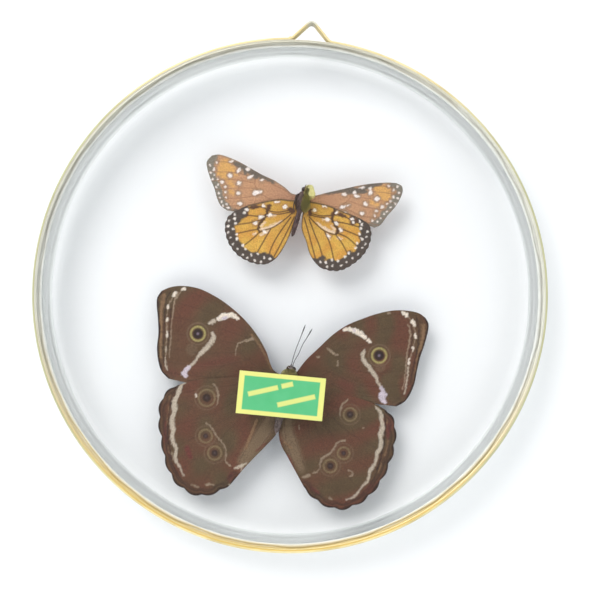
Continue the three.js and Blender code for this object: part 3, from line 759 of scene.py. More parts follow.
queen["wings"] = {
    "left_fore": {
        "side": -1,
        "costa": [(-1.4, 3), (-4.4, 3.4), (-7.2, 5.5), (-11.7, 8), (-17, 10), (-25, 13.8),
            (-30.5, 15.9), (-35, 16.8), (-37.8, 16.2)],
        "margin": [(-39.6, 13.6), (-39.2, 10.8), (-37.6, 6.8), (-35.6, 2.8), (-34.2, -1),
            (-32.5, -3.8)],
        "inner": [(-1.2, -1.4), (-8.7, -3.1), (-15.8, -4.9), (-22.6, -6), (-29.9, -5.4)],
        "veins": [[(-1.4, 2.4), (-8, 4.8), (-16.5, 8.2), (-24, 11.8), (-30, 13.9), (-36.5, 13.8)],
            [(-1.3, 0.6), (-8, 0.2), (-14, 0.9), (-17.8, 3.4), (-19.6, 6), (-19.4, 8.6)],
            [(-19.4, 8.2), (-27, 10), (-38.5, 9.6)], [(-19.6, 6.4), (-27, 7.2), (-37.2, 6)],
            [(-18.6, 4.4), (-26, 3.9), (-35.6, 2.6)], [(-16.5, 2), (-24, 0.2), (-34, -1)],
            [(-12.5, 0.6), (-20, -2.2), (-32.2, -4)],
            [(-1.3, -0.6), (-12, -2.7), (-22, -4.7), (-29, -5.1)]],
        "spots": [(-29.8, 8.6, 1.05, 1, 0), (-26.4, 11, 0.8, 1.5, -20), (-22.7, 11.8, 1.25, 0.9, 0),
            (-21.5, 8.8, 1.8, 0.8, 35), (-16.9, 7.8, 1, 0.6, 20), (-32.8, 5.8, 0.85, 0.8, 0),
            (-25.9, 5.8, 1, 1, 0), (-25.9, 1.8, 0.95, 0.95, 0), (-31.3, 4, 0.6, 0.65, 0),
            (-18.7, 2.5, 2, 1.25, 12), (-17.2, 3, 1, 0.8, 0), (-24.9, -2.3, 1.2, 0.95, 0),
            (-35.6, 13.6, 0.55, 0.7, 0), (-36.4, 10.7, 0.6, 0.8, 0), (-29.6, -4.4, 0.9, 0.6, 0),
            (-31, 1.9, 0.5, 0.6, 0), (-30.7, -0.3, 0.5, 0.6, 0), (-30.2, -2.9, 0.5, 0.5, 0),
            (-36.2, 8.6, 0.5, 0.45, 0), (-34.6, 7, 0.5, 0.4, 0), (-29.6, 14.4, 1.1, 0.5, 25)],
        "dots": [(-38.2, 12.2), (-37.7, 9.2), (-36.7, 6.6), (-34.9, 3.6), (-34.4, 4.6),
            (-33.6, 1.2), (-33.2, -0.4), (-32.4, -2.2), (-31.6, -3.6)],
        "dark": [[(-12, 7.2, 0.5), (-17, 9.3, 0.8), (-20.5, 10.4, 1.2), (-24, 11.9, 1.1),
             (-28, 13.8, 0.9)], [(-20.5, 10.6, 1.5), (-19.2, 9.6, 1.6)],
            [(-23.6, 10.2, 0.8), (-24.8, 13.2, 0.8)],
            [(-15.8, -4.2, 0.6), (-24, -5.4, 0.8), (-26.5, -5.4, 0.7)]],
        "gold": [[(-34.2, 9.6, 1.5), (-31.8, 12, 3.2), (-28, 9.6, 1.2)],
            [(-32.4, 9, 2.4), (-29.5, 7, 0.9)], [(-29.5, 5.6, 0.8), (-28, 4.4, 0.7)],
            [(-29, 2.2, 0.9), (-28, 1.6, 0.6)]],
    },
    "left_hind": {
        "side": -1,
        "costa": [(-1.2, 0.8), (-4.9, 0.6), (-9.1, 0.7), (-14.4, -0.6), (-22.4, -3.2),
            (-25.9, -5.3)],
        "margin": [(-28.9, -7.6), (-30.1, -10.9), (-29.9, -13.8), (-28.2, -18.4), (-24.4, -22.8),
            (-19.8, -25.2), (-15, -26.1)],
        "inner": [(-1, -3.2), (-2.1, -7.4), (-3.9, -13.8), (-6.2, -19.3), (-8.8, -23.4),
            (-11.7, -25.6)],
        "veins": [[(-4.6, -3.4), (-9.2, -4.6), (-12.9, -4.3), (-15.4, -3.1), (-19.4, -3.3),
             (-23, -4.6)], [(-3.8, -4), (-8.5, -5.3), (-12.2, -5.7), (-14, -7)],
            [(-13.4, -4.4), (-14.4, -7.1), (-16.1, -9.4), (-16.7, -11.8), (-16, -13.1)],
            [(-3.6, -4.6), (-6.9, -7.8), (-10.7, -10.8), (-14.3, -12.3), (-16, -13.1)],
            [(-14.1, -6.4), (-17.1, -6.9), (-20.5, -6.8), (-26, -7.6)],
            [(-14.7, -7.8), (-19, -9.4), (-27, -11.2)],
            [(-16.7, -12), (-20, -12.9), (-27.6, -15.2)],
            [(-16, -13.1), (-18.1, -15.5), (-23.6, -20.6)],
            [(-11.7, -11.6), (-13.7, -15.8), (-17.6, -24.2)],
            [(-4, -6.2), (-8.2, -13.3), (-10.5, -18.2), (-12.2, -24.6)],
            [(-2.6, -6), (-5.6, -13.6), (-9.4, -22.4)]],
        "pink": [[(-7.4, -8, 0.5), (-10.4, -9.9, 0.8), (-13.8, -11.5, 0.9), (-15.6, -11.8, 0.8)],
            [(-15.5, -10.6, 0.8), (-14.2, -9, 0.5)], [(-10, -5.9, 0.4), (-12.6, -6.4, 1)],
            [(-15.5, -14.2, 0.6), (-13.4, -12.9, 0.9), (-12.4, -12.4, 0.5)],
            [(-17.6, -13.8, 0.8), (-18.4, -14.4, 0.5)]],
        "spots": [(-12.5, -5.9, 1.25, 0.85, 25), (-15.9, -7.1, 1.3, 0.95, 20),
            (-18, -9.7, 1.3, 0.9, 10), (-10, -0.5, 1.4, 0.6, 10), (-6.6, -2.3, 1.2, 0.9, 15),
            (-21.9, -4.5, 1.1, 0.8, 0), (-22.6, -5.9, 0.9, 0.7, 0), (-15.4, -2.4, 0.8, 0.8, 0),
            (-14, -12.9, 1.2, 0.6, -25)],
        "dots": [(-28.7, -9.6), (-28.8, -11.7), (-28.6, -14.3), (-27.6, -16.3), (-26.4, -18.9),
            (-24.3, -20.6), (-22.1, -22.7), (-20.1, -23.9), (-17, -24.7), (-14.5, -25.1)],
        "rowSpots": [(-26.6, -6.8), (-26.4, -8.5), (-26, -10.5), (-26.8, -12.7), (-25.2, -14.7),
            (-24.9, -16.6), (-22.3, -19), (-21.2, -20.4), (-18.6, -22.6), (-16, -22.1),
            (-13.3, -23.3), (-11.1, -23.5)],
        "dark": [[(-24.5, -5, 0.8), (-22, -6.4, 1), (-22.6, -4.6, 1.2)],
            [(-13.6, -4.2, 0.7), (-13, -2.4, 0.9)], [(-4.6, -3, 0.9), (-3.6, -3.6, 1.2)],
            [(-17.8, -3, 0.7), (-20, -3.4, 0.8)]],
    },
    "right_fore": {
        "side": 1,
        "costa": [(1.8, 3), (4.1, 3), (9.3, 4.7), (15.7, 6.7), (22, 8.7), (28, 10.1), (34, 11),
            (37.4, 11.1)],
        "margin": [(39.6, 10.1), (40.2, 8.4), (39.5, 5.2), (37.7, 1.5), (34.8, -2.4), (32.2, -6.4)],
        "inner": [(1.4, -1.4), (9.5, -2.5), (16.5, -3.9), (23.1, -5.8), (30, -7.6)],
        "veins": [[(1.8, 2.4), (9, 3.8), (17, 5.8), (25, 8.2), (31, 9.4), (37.5, 9.2)],
            [(1.4, 0.6), (8, 0), (14, -0.5), (17.6, 1.6), (19.3, 4), (19, 6.2)],
            [(19.2, 5.6), (28, 6.8), (39.2, 6.6)], [(19.3, 4), (27.5, 3.8), (38.2, 2.9)],
            [(18.4, 2.4), (26, 0.4), (36.2, -0.4)], [(16.6, -0.2), (24, -3.2), (34, -3.6)],
            [(12.6, -0.6), (20, -4), (31.6, -6.6)], [(1.4, -0.8), (11, -2.4), (21, -5), (29, -7.1)]],
        "spots": [(30, 4, 1.35, 1, 0), (27.1, 6.4, 1, 1.3, -10), (27, 7.9, 0.8, 0.9, 0),
            (25.5, 1.6, 1.1, 0.95, 0), (24.5, -2.4, 1.05, 1, 0), (21.9, 4.5, 1.5, 0.75, -8),
            (20.7, 5.9, 1, 0.9, 0), (23.6, 8, 1.5, 0.6, 12), (16.9, 4.8, 1.4, 0.75, 8),
            (16.6, -0.4, 1.5, 0.85, 20), (18.6, 0.5, 0.9, 0.45, 20), (17.6, -2.7, 0.9, 0.8, 0),
            (34.4, 9.7, 0.75, 0.55, 0), (36.5, 8.2, 0.5, 0.75, 0), (36.6, 5.5, 0.5, 0.7, 0),
            (32.4, 0.9, 1, 0.95, 0), (30.1, -0.9, 0.7, 0.65, 0), (29.7, -2.9, 0.6, 0.6, 0),
            (28.9, -4.8, 0.6, 0.6, 0), (35.6, 3.6, 0.5, 0.6, 0), (34.4, 2.4, 0.5, 0.5, 0)],
        "dots": [(38, 9.9), (38.7, 7.4), (38.4, 5), (37.6, 2.8), (35.9, 1.2), (34.5, -0.6),
            (33.3, -1.8), (32.1, -3.7), (31, -5.1)],
        "dark": [[(9.5, 4.4, 0.5), (15.7, 6.2, 0.8), (19.2, 6.6, 1.4), (22.4, 6.6, 1.2),
             (26, 8.8, 1), (31, 10.2, 0.7)], [(19, 7, 1.3), (18.8, 5.6, 0.9)],
            [(22.6, 6.4, 0.9), (25, 6.6, 0.8)], [(16, -3.6, 0.5), (22.5, -5.4, 0.8)]],
        "gold": [[(29.2, 8.4, 1.4), (32.5, 7.2, 2.9), (34.6, 5.4, 1.6)],
            [(31, 5.4, 1.2), (34, 4.4, 1.4)], [(28.2, 2.6, 1), (30.4, 1.8, 0.9)]],
    },
    "right_hind": {
        "side": 1,
        "costa": [(1.4, 0.8), (5.3, 0.5), (10.6, -0.3), (15.6, -1.9), (23.7, -4.4), (27.4, -6.3)],
        "margin": [(28.7, -9), (28.5, -14.1), (26.3, -19), (22.2, -23.2), (17.7, -25.9),
            (13, -26.3)],
        "inner": [(0.6, -3.6), (0.7, -10.4), (2.9, -15.5), (4.8, -20.4), (7.1, -23.5), (9.3, -25.4)],
        "veins": [[(4.1, -4.1), (7.9, -4.7), (12.2, -4.2), (15.3, -3.7), (19.4, -4.9), (25, -7)],
            [(3.6, -4.6), (5.8, -5.1), (9.5, -5.4), (12.5, -5.8)],
            [(12.8, -3.9), (12.6, -5.8), (14, -7.8), (15.2, -9.6), (14.8, -11.8)],
            [(3.4, -5.6), (6, -7.8), (9, -10.1), (12.2, -11.4), (14.8, -11.8)],
            [(13.2, -6.6), (17.4, -6.8), (25.6, -8.2)], [(14.9, -8.9), (18.9, -9.9), (26.6, -12.4)],
            [(15.2, -11.1), (19.1, -12.4), (25.2, -17)],
            [(14.9, -12.1), (17.4, -15), (21.2, -21.2)],
            [(9.9, -10.6), (12.5, -15.4), (15.4, -24.4)],
            [(3.4, -6.4), (6.4, -12.8), (8.6, -17.2), (11.2, -24.8)],
            [(1.4, -6), (3.9, -12.7), (7.2, -22)]],
        "pink": [[(6.4, -7.4, 0.4), (9.2, -9.2, 0.8), (12, -10.6, 0.9), (14, -10.8, 0.8)],
            [(14, -9.8, 0.7), (12.6, -8.4, 0.4)], [(11.2, -12, 1), (12.2, -13.6, 0.6)],
            [(15.6, -12.9, 0.9), (17, -13.4, 0.5)], [(8.8, -5.9, 0.4), (11, -6.3, 0.9)]],
        "spots": [(10.8, -5.9, 1.2, 0.95, -25), (14.4, -7.2, 1.3, 0.8, -35),
            (16.4, -9.7, 1.3, 0.9, -35), (14.3, -2.8, 0.75, 0.85, 0), (5.3, -2.6, 1, 0.85, -20),
            (9.1, -0.8, 1.3, 0.55, -10), (20.7, -4.9, 1.05, 0.75, 0), (21.3, -6.2, 0.9, 0.6, 0),
            (11.9, -12.5, 1, 0.6, -20)],
        "dots": [(27.2, -9.5), (27, -11.6), (26.8, -14.4), (25.6, -16.2), (24.3, -18.8),
            (22.2, -20.6), (19.9, -22.5), (17.8, -23.9), (14.3, -24.4), (12.3, -25)],
        "rowSpots": [(23.8, -5.5), (24.8, -6.8), (24.5, -8.4), (24.1, -10.6), (25.3, -12.6),
            (23.4, -14.5), (23, -16.4), (20.4, -18.8), (19.1, -20.3), (16.3, -22.3), (13.8, -21.9),
            (11.4, -23.2), (9.4, -23.2)],
        "dark": [[(23, -5.2, 1), (20.8, -6.4, 1), (20.9, -4.6, 1.3)],
            [(12.8, -4, 0.8), (13.4, -2.2, 0.8)], [(3.6, -3, 0.9), (3.4, -4.6, 0.8)],
            [(15.6, -3.4, 0.8), (17.4, -4, 0.7)]],
    },
}


# The large butterfly, the same way; eyes are (x, z, disc's radius, ring's radius)
morpho = {
    "place": (1.8, -35.5),
    "depth": 8.2,
    "foreLevel": 1.6,
    "rise": 2.4,
    "span": 55.0,
    "lobes": 9,
    "lobeDepth": 0.9,
    "rows": 200,
    "columns": 150,
    "scallop": (1.3, 0.7, 0.25),  # distance from the margin, what the arcs add to it, half its width
    "darkEdge": (0.5, 0.35, 0.2),  # width, and what the arcs and the unevenness add to it
    "shadeLine": (2.3, 0.4),  # distance from the margin, half its width
    "pupil": 0.5,
    "ringHalf": 0.4,
    "halo": (1.5, 0.25),  # how far outside the eye's ring, half its width
    "bow": 0.8,  # how far the pale band bows out between the veins
    "softness": {"tan": 0.9, "thin": 0.6, "beige": 0.6, "cream": 0.6, "lilac": 0.8},  # of the bands' edges
    # how strongly a mark shows on the fore wings and on the hind wings
    "shows": {"scallop": (0.0, 0.8), "shadeLine": (0.2, 0.5), "rust": (0.5, 0.9), "halo": (0.8, 0.55),
              "ring": (0.0, 0.8), "olive": (1.0, 0.15), "disc": (1.0, 0.85), "pupil": (0.9, 0.15)},
    "upperBorder": (3.4, 2.6),
    "upperBrink": 1.3,
}
morpho["wings"] = {
    "left_fore": {
        "side": -1,
        "costa": [(-2, 3), (-6.1, 5), (-9.7, 12.3), (-13.5, 18), (-18, 23), (-22.3, 26.7),
            (-28, 30.6), (-33, 33.2), (-39.1, 35.4), (-45.8, 35.9), (-50.4, 35), (-54, 33.2)],
        "margin": [(-55.5, 30.4), (-55.5, 27.4), (-54.5, 21.4), (-53.9, 15.8), (-54, 10),
            (-53, 4.6), (-51.4, 0.8)],
        "inner": [(-1.8, -1.6), (-12.6, -2.2), (-22.3, -2.8), (-32, -3), (-40.9, -3), (-48.4, -2)],
        "veins": [[(-2, 2.6), (-8, 8), (-14, 15), (-22, 23), (-31, 29.5), (-40, 33), (-49, 34)],
            [(-2, 0), (-9, 3.5), (-16, 8), (-20, 11)], [(-17.6, 18), (-20, 14.5), (-20, 11)],
            [(-19, 20), (-33, 26), (-54, 30)], [(-18.4, 17.6), (-34, 21), (-54.6, 24)],
            [(-20, 14.5), (-35, 15.5), (-54, 17)], [(-20, 11.2), (-35, 9.5), (-53.8, 11)],
            [(-16.5, 8.4), (-30, 4.5), (-53, 5)], [(-12, 5.5), (-27, 0.5), (-50.5, 0.4)],
            [(-2, -1), (-20, -1.8), (-45, -1.9)]],
        "eyes": [(-37.8, 17.1, 1.95, 2.85)],
        "ghostEyes": [(-39.8, 10.6, 2.4)],
        "cream": [[(-30, 23.7, 0.81), (-28.3, 24.8, 1.25), (-26.3, 25.5, 1.03), (-24.3, 25.8, 0.95),
             (-22.4, 24.7, 0.73)], [(-45.5, 34.5, 0.59), (-44.7, 34.8, 0.66)],
            [(-48.8, 31.8, 0.88), (-48.3, 32.8, 0.66)], [(-50.9, 27.4, 0.59), (-50.7, 26.5, 0.51)],
            [(-50.7, 22.4, 0.37), (-50.7, 21.5, 0.37)], [(-50.4, 17, 0.29), (-50.1, 14.8, 0.37)]],
        "lilac": [[(-28.1, 24.1, 0.51), (-26.8, 24.6, 0.51)],
            [(-40.4, 3.4, 0.59), (-41.7, 1.7, 1.03), (-42.1, 0.6, 1.17), (-41.3, -0.4, 0.73)]],
        "thin": [[(-45.9, 33.9, 0.15), (-47.3, 32.1, 0.22), (-48.2, 29.8, 0.29),
             (-48.5, 27.8, 0.29), (-48.7, 24.2, 0.22), (-48.8, 20.9, 0.15), (-48.8, 16.7, 0.15),
             (-48.8, 11.7, 0.15), (-48.7, 6.5, 0.07)],
            [(-47.3, 33.1, 0.15), (-49.5, 30.6, 0.15), (-50.7, 27.7, 0.15), (-50.9, 24, 0.15),
             (-50.7, 19.6, 0.15), (-50.3, 13.8, 0.15), (-50.3, 10.1, 0.15), (-50.1, 5, 0.15),
             (-49.2, 1.4, 0.15)]],
        "tan": [[(-52.8, 31.5, 0.66), (-53.4, 26, 0.73), (-53.3, 20.9, 0.59), (-52.7, 13.6, 0.44),
             (-52.1, 6.3, 0.44)],
            [(-16, 18.6, 0.22), (-12.7, 14.7, 0.29), (-9.4, 9.9, 0.37), (-7, 5.3, 0.37)]],
        "rust": [[(-37.6, 4.1, 1.03), (-29.7, 6.2, 1.47), (-21.8, 8.7, 1.03)],
            [(-47.7, 0.7, 1.47), (-45.4, 0, 1.47)]],
        "rustBlur": 5,
        "pale": [[(-33.3, 21.7, 0.66), (-31.6, 22.8, 0.81)],
            [(-32.1, 17.9, 0.51), (-31.2, 16.3, 0.88), (-32.2, 14.1, 1.03), (-33.7, 11.8, 1.03),
             (-35.4, 10, 0.81), (-37.1, 7.8, 0.59), (-37.8, 6.3, 0.51), (-38.6, 5, 0.51),
             (-40.4, 3.5, 0.66)], [(-50.4, 10.5, 0.22), (-50.2, 8.9, 0.29)],
            [(-50.3, 6.4, 0.15), (-49.8, 3.5, 0.22), (-49.2, 1.5, 0.22)]],
        "beige": [[(-15.6, 16.9, 0.66), (-16.7, 16.3, 0.44), (-18.7, 15.7, 0.22)],
            [(-18.7, 15.7, 0.22), (-21.2, 14.6, 0.37), (-21.7, 13.1, 0.22)],
            [(-21.9, 12.8, 0.15), (-21.9, 9.9, 0.22)]],
        "line": [[(-50.2, 33.4, 0.22), (-51.8, 29.8, 0.22), (-52.1, 24.7, 0.22),
             (-51.7, 17.3, 0.22), (-51.4, 10, 0.15), (-50.9, 4.2, 0.15)],
            [(-49.6, 26.3, 0.15), (-49.6, 21.2, 0.15), (-49.4, 15.3, 0.15), (-49.5, 9.4, 0.15)]],
    },
    "left_hind": {
        "side": -1,
        "costa": [(-2, 1), (-10.5, 1.4), (-19.6, 0.9), (-30.4, -0.4), (-39.6, -2.4), (-44.5, -4.4)],
        "margin": [(-48.2, -7.1), (-50.5, -11), (-50.8, -19), (-49, -27.8), (-46.5, -36.2),
            (-42.3, -43.2), (-37.4, -46.6), (-32.4, -48), (-26.7, -46.8), (-21.5, -43.8)],
        "inner": [(-1.4, -3.6), (-2.2, -12), (-2.8, -20.1), (-6.7, -25.6), (-12.6, -32.6),
            (-17.9, -39.6)],
        "veins": [[(-2, -0.5), (-14, -1), (-28, -3.5), (-46, -8)],
            [(-2, -2.2), (-10, -7), (-16, -11.5)], [(-17, -4.5), (-19, -8.5), (-16, -11.5)],
            [(-18, -5), (-33, -9), (-50, -15)], [(-19, -8), (-33, -16), (-49.8, -22.5)],
            [(-17, -11.5), (-31, -21.5), (-47.5, -32)], [(-15, -11.6), (-27, -26), (-43, -41)],
            [(-10.5, -8), (-20, -24), (-33, -46.5)], [(-2.4, -4.5), (-10, -18), (-21, -42)],
            [(-2, -6), (-4, -17), (-10, -28)]],
        "eyes": [(-32.1, -8.4, 1.7, 3.3), (-31.3, -23.8, 1.1, 2.6), (-27.1, -30.3, 1.35, 2.7)],
        "ghostEyes": [],
        "cream": [[(-36.6, -7.4, 0.27), (-36.4, -8.1, 0.27)],
            [(-20.2, -42.7, 0.27), (-19.9, -43.3, 0.2)]],
        "lilac": [],
        "thin": [],
        "tan": [[(-46.9, -8.8, 0.34), (-47.4, -10.5, 0.27)],
            [(-46.9, -13.5, 0.4), (-46.9, -15.5, 0.34)], [(-47.3, -17.9, 0.2), (-47.1, -20.6, 0.2)],
            [(-46.2, -29.9, 0.27), (-45.3, -31.9, 0.27)],
            [(-11.3, -15.7, 0.4), (-13.4, -22.6, 0.4), (-14.7, -27.4, 0.34)]],
        "rust": [[(-48, -19.3, 0.54), (-48, -23.3, 0.61), (-47.2, -27.3, 0.54)],
            [(-46.2, -30.5, 0.47), (-44.9, -33.2, 0.34)],
            [(-19.6, -38.5, 0.94), (-20.2, -40.1, 0.94)],
            [(-7.2, -24.8, 0.27), (-10.3, -27.9, 0.27)],
            [(-38.4, -29.3, 1.08), (-36.9, -32.6, 0.94)]],
        "rustBlur": 1.4,
        "fold": [(-3.6, -10, 1.2), (-6.6, -18, 3), (-12.2, -27, 3), (-15.4, -32.4, 2.2)],
        "pale": [[(-41.8, -3.1, 0.54), (-43, -5.1, 0.67), (-44, -7.3, 0.87), (-44.5, -9.6, 1.01),
             (-44.8, -11.9, 1.08), (-45.1, -15, 1.01), (-45.1, -18.4, 0.94), (-45.1, -21.7, 0.87),
             (-44.8, -24.4, 0.94), (-44.1, -27.1, 0.74), (-43.2, -29.7, 0.67), (-42.7, -32.3, 0.67),
             (-42.3, -34.7, 0.61), (-41.4, -36.6, 0.47), (-40.1, -38.6, 0.34),
             (-38.6, -40.5, 0.27)], [(-16, -34.4, 0.34), (-15.5, -36.6, 0.34)],
            [(-18.3, -35.7, 0.34), (-16, -34.5, 0.54), (-14.2, -33.4, 0.4)]],
        "beige": [[(-30, -2.5, 0.2), (-28.4, -4, 0.27), (-27.6, -6.3, 0.34), (-27.5, -8.9, 0.27),
             (-27.6, -11, 0.13)],
            [(-31.6, -18.6, 0.34), (-30.2, -19.2, 0.27), (-29, -20.5, 0.27), (-27.6, -22.4, 0.27),
             (-26.6, -23.8, 0.27), (-24.9, -25.3, 0.27), (-23.3, -27.1, 0.27), (-22.4, -29.4, 0.2),
             (-22.5, -31.5, 0.2), (-22.7, -32.9, 0.27), (-21.5, -34.2, 0.27), (-20.2, -34.9, 0.34)],
            [(-35.3, -43.9, 0.27), (-32.6, -44.6, 0.34)],
            [(-29.6, -43.4, 0.34), (-28, -43, 0.4), (-26.5, -43.2, 0.27)],
            [(-44.4, -31.8, 0.2), (-43.5, -34.4, 0.2)]],
        "line": [[(-45.1, -5.6, 0.27), (-46.4, -9.7, 0.27), (-46.8, -15.1, 0.27),
             (-47, -20.6, 0.27), (-46.6, -26.3, 0.27), (-45.2, -31.2, 0.27), (-44.2, -35.8, 0.27),
             (-41.7, -39.7, 0.27), (-38.7, -43.5, 0.2)]],
    },
    "right_fore": {
        "side": 1,
        "costa": [(2, 3.2), (3.5, 5.3), (6.6, 10), (11.4, 15.4), (16.7, 21.2), (22.2, 25.5),
            (28.1, 28.5), (33.4, 30.8), (40.2, 32.8), (46, 33.2), (50.8, 32.5), (53.6, 30.9)],
        "margin": [(55, 28.6), (55.1, 26), (54, 19.8), (52.6, 14.3), (51.8, 8.8), (51, 3),
            (48.2, -3.2)],
        "inner": [(1.6, -1.4), (13.3, -2.6), (24.7, -3.9), (34.6, -5.3), (44.7, -5.8)],
        "veins": [[(2, 2.6), (6, 8), (12.5, 14.6), (21, 22), (29, 27.3), (40, 31.2), (50, 31.6)],
            [(2, 0), (9, 2.5), (16, 6), (20, 8.6)], [(17.5, 15.5), (19.5, 12.2), (20, 8.6)],
            [(19, 18), (33, 24), (53.5, 28.5)], [(18, 15.4), (34, 18.5), (54.5, 22)],
            [(19.6, 12), (35, 13), (53, 16)], [(20, 8.8), (34, 7), (52, 10)],
            [(16.5, 6.2), (30, 1.8), (51, 3.5)], [(12, 3.8), (27, -1.8), (48.5, -2.5)],
            [(2, -1), (20, -3.1), (44, -5.3)]],
        "eyes": [(36, 14.2, 1.95, 2.9)],
        "ghostEyes": [(36.8, 9.7, 2.1)],
        "cream": [[(21, 23.5, 0.59), (22.7, 23.9, 0.81), (24.5, 23.6, 0.95), (26, 23.2, 1.1),
             (27.9, 22.3, 1.03), (29.7, 21, 0.73)], [(31.3, 20, 0.81), (31.8, 19.3, 0.51)],
            [(44.3, 32.2, 0.66), (45.9, 31.3, 0.81)], [(48.5, 28.9, 0.81), (49.5, 27.5, 0.51)],
            [(50, 24, 0.37), (50.2, 22.4, 0.44)], [(49.4, 18.5, 0.37), (49.5, 17.2, 0.29)],
            [(48.2, 13.8, 0.29), (48.3, 11.5, 0.37)]],
        "lilac": [[(24.5, 23.7, 0.44), (25.4, 23.3, 0.44)],
            [(37.8, 1.5, 0.59), (38.8, -0.2, 0.73), (39.5, -1.3, 0.81)],
            [(38, -1.3, 0.94), (38.5, -2.6, 1.28), (39, -3.6, 1.21), (39.8, -4.5, 0.67)]],
        "thin": [[(46.7, 27.8, 0.15), (47.6, 25.8, 0.29), (48, 23.2, 0.29), (47.7, 19.1, 0.22),
             (47.3, 16.7, 0.22), (47.2, 13, 0.22), (47.2, 9.3, 0.15), (47.1, 5, 0.15),
             (46.6, 1.3, 0.15)], [(45.9, 31.1, 0.15), (48.1, 29.2, 0.15), (49.8, 25.1, 0.15),
             (50, 20.7, 0.15), (49.2, 16.3, 0.15), (48.3, 11.8, 0.15), (48.3, 7.4, 0.15),
             (47.8, 2.9, 0.15)]],
        "tan": [[(52.9, 27.7, 0.73), (53.3, 23.2, 0.81), (52.7, 18.7, 0.66), (52, 15.8, 0.59),
             (51.6, 10.6, 0.51), (51.2, 6.9, 0.44)]],
        "rust": [[(3.3, 7, 0.66), (6.3, 6.8, 0.66)], [(21.4, 2.2, 1.17), (25.9, 1.1, 1.17)]],
        "rustBlur": 5,
        "pale": [[(30, 16, 0.37), (29.2, 14.1, 0.66), (29.5, 12.5, 0.81), (30.5, 10.9, 0.81),
             (32.2, 9.2, 0.81), (33.9, 7.2, 0.81), (35.2, 5.7, 0.73), (35.9, 4.4, 0.51),
             (36.2, 3.3, 0.51), (37.6, 1.7, 0.59)],
            [(48.1, 10.3, 0.29), (48.2, 7.2, 0.22), (47.9, 3.3, 0.22), (47.5, -0.4, 0.29)]],
        "beige": [[(14.8, 15.6, 0.22), (16.4, 14.3, 0.37), (17.9, 13.4, 0.37), (19.2, 13.1, 0.37)],
            [(19.4, 10.8, 0.22), (19.6, 8.7, 0.37)], [(38.2, 31.6, 0.44), (38.9, 31.6, 0.44)],
            [(11.2, 11.7, 0.37), (11.6, 11.7, 0.37)]],
        "line": [[(50, 30.6, 0.22), (51.4, 25.3, 0.22), (51.4, 19.4, 0.22), (50.8, 14.2, 0.22),
             (50, 9, 0.22), (49.5, 3.6, 0.15)],
            [(47.9, 27.1, 0.15), (49, 23.6, 0.15), (48.6, 18.6, 0.15), (47.8, 14.7, 0.15)]],
    },
    "right_hind": {
        "side": 1,
        "costa": [(2, 0.8), (9, 0.5), (15.6, -0.4), (25.8, -2.8), (36.2, -5.6), (40.5, -7.6)],
        "margin": [(43.6, -10.8), (45, -14.8), (45, -23), (43, -31), (39.4, -38.8), (34, -45),
            (26, -48.8), (19.2, -47.9), (13.9, -45)],
        "inner": [(0.6, -3.8), (-2, -12.9), (-1.3, -23.2), (2.5, -29.6), (6.4, -35.6), (9.9, -41)],
        "veins": [[(2, -0.8), (13, -1.8), (26, -5), (42, -10.6)],
            [(1.2, -2.6), (7, -8.5), (11.5, -13.5)], [(14.5, -5.8), (15.5, -10), (11.5, -13.5)],
            [(15, -6.2), (29, -11), (44.6, -18)], [(15.5, -9.6), (28, -18.5), (44, -26)],
            [(13.5, -12.5), (25, -24.5), (41, -35.5)], [(11.5, -13.6), (20, -28.5), (36, -43)],
            [(8, -10), (13, -27), (27, -48)], [(1, -5), (5, -22), (15, -44)],
            [(0.3, -6), (0.5, -20), (6, -34)]],
        "eyes": [(26.1, -10.4, 1.4, 2.6), (24.8, -26.2, 1, 2.4), (19.8, -31.7, 1.35, 2.6)],
        "ghostEyes": [],
        "cream": [],
        "lilac": [],
        "thin": [],
        "tan": [[(42.5, -19.8, 0.27), (42.1, -22.8, 0.34), (41.5, -25.6, 0.34)],
            [(40.5, -29, 0.34), (39.5, -32.8, 0.34)], [(41, -10.9, 0.2), (41.4, -12.8, 0.2)],
            [(3.7, -25.9, 0.27), (0.8, -23.5, 0.27)]],
        "rust": [[(42.2, -13.1, 0.67), (42.3, -16.1, 0.67), (42.1, -18.6, 0.54)],
            [(13, -41.1, 0.61), (15.9, -43, 0.61)], [(36.8, -38.1, 0.47), (35.1, -40.3, 0.47)],
            [(2.5, -28.7, 0.34), (5.8, -35.2, 0.34)]],
        "rustBlur": 1.4,
        "fold": [(1, -10, 1.2), (1.6, -20, 2.6), (5.6, -28.6, 2.4), (8.4, -33.6, 1.4)],
        "pale": [[(35.9, -6.5, 0.34), (37.7, -8.1, 0.54), (38.9, -9.7, 0.67), (39.3, -12.3, 0.87),
             (39.3, -15.6, 0.94), (39.4, -19, 0.94), (39.2, -22.4, 0.81), (38.8, -24.6, 0.74),
             (38.2, -27.2, 0.61), (37.2, -30, 0.61), (36.3, -32.4, 0.61), (35.6, -34.8, 0.54),
             (35, -36.9, 0.47), (33.5, -39.4, 0.27), (31.9, -41.2, 0.34), (30.7, -42.6, 0.4),
             (29.5, -44, 0.34), (27.5, -44.9, 0.27)]],
        "beige": [[(24.8, -4.6, 0.27), (23.2, -5.8, 0.27), (22.3, -7.4, 0.27), (22.1, -9.3, 0.2),
             (22, -11.5, 0.13)], [(24.8, -21.1, 0.47), (22.8, -21.4, 0.27), (21.5, -22.7, 0.34),
             (20.8, -24.5, 0.34), (19.3, -26.7, 0.27), (17.4, -27.9, 0.34), (15.9, -29.3, 0.34),
             (15.5, -31.2, 0.2), (15.7, -32.9, 0.2), (14.5, -34.5, 0.34), (13.1, -35.1, 0.2)],
            [(11.7, -36.1, 0.54), (10.4, -36.6, 0.54), (9.2, -37.1, 0.4)],
            [(27.2, -32.9, 0.2), (28.7, -33.3, 0.2), (29.1, -34.5, 0.27), (28.2, -35.3, 0.2)],
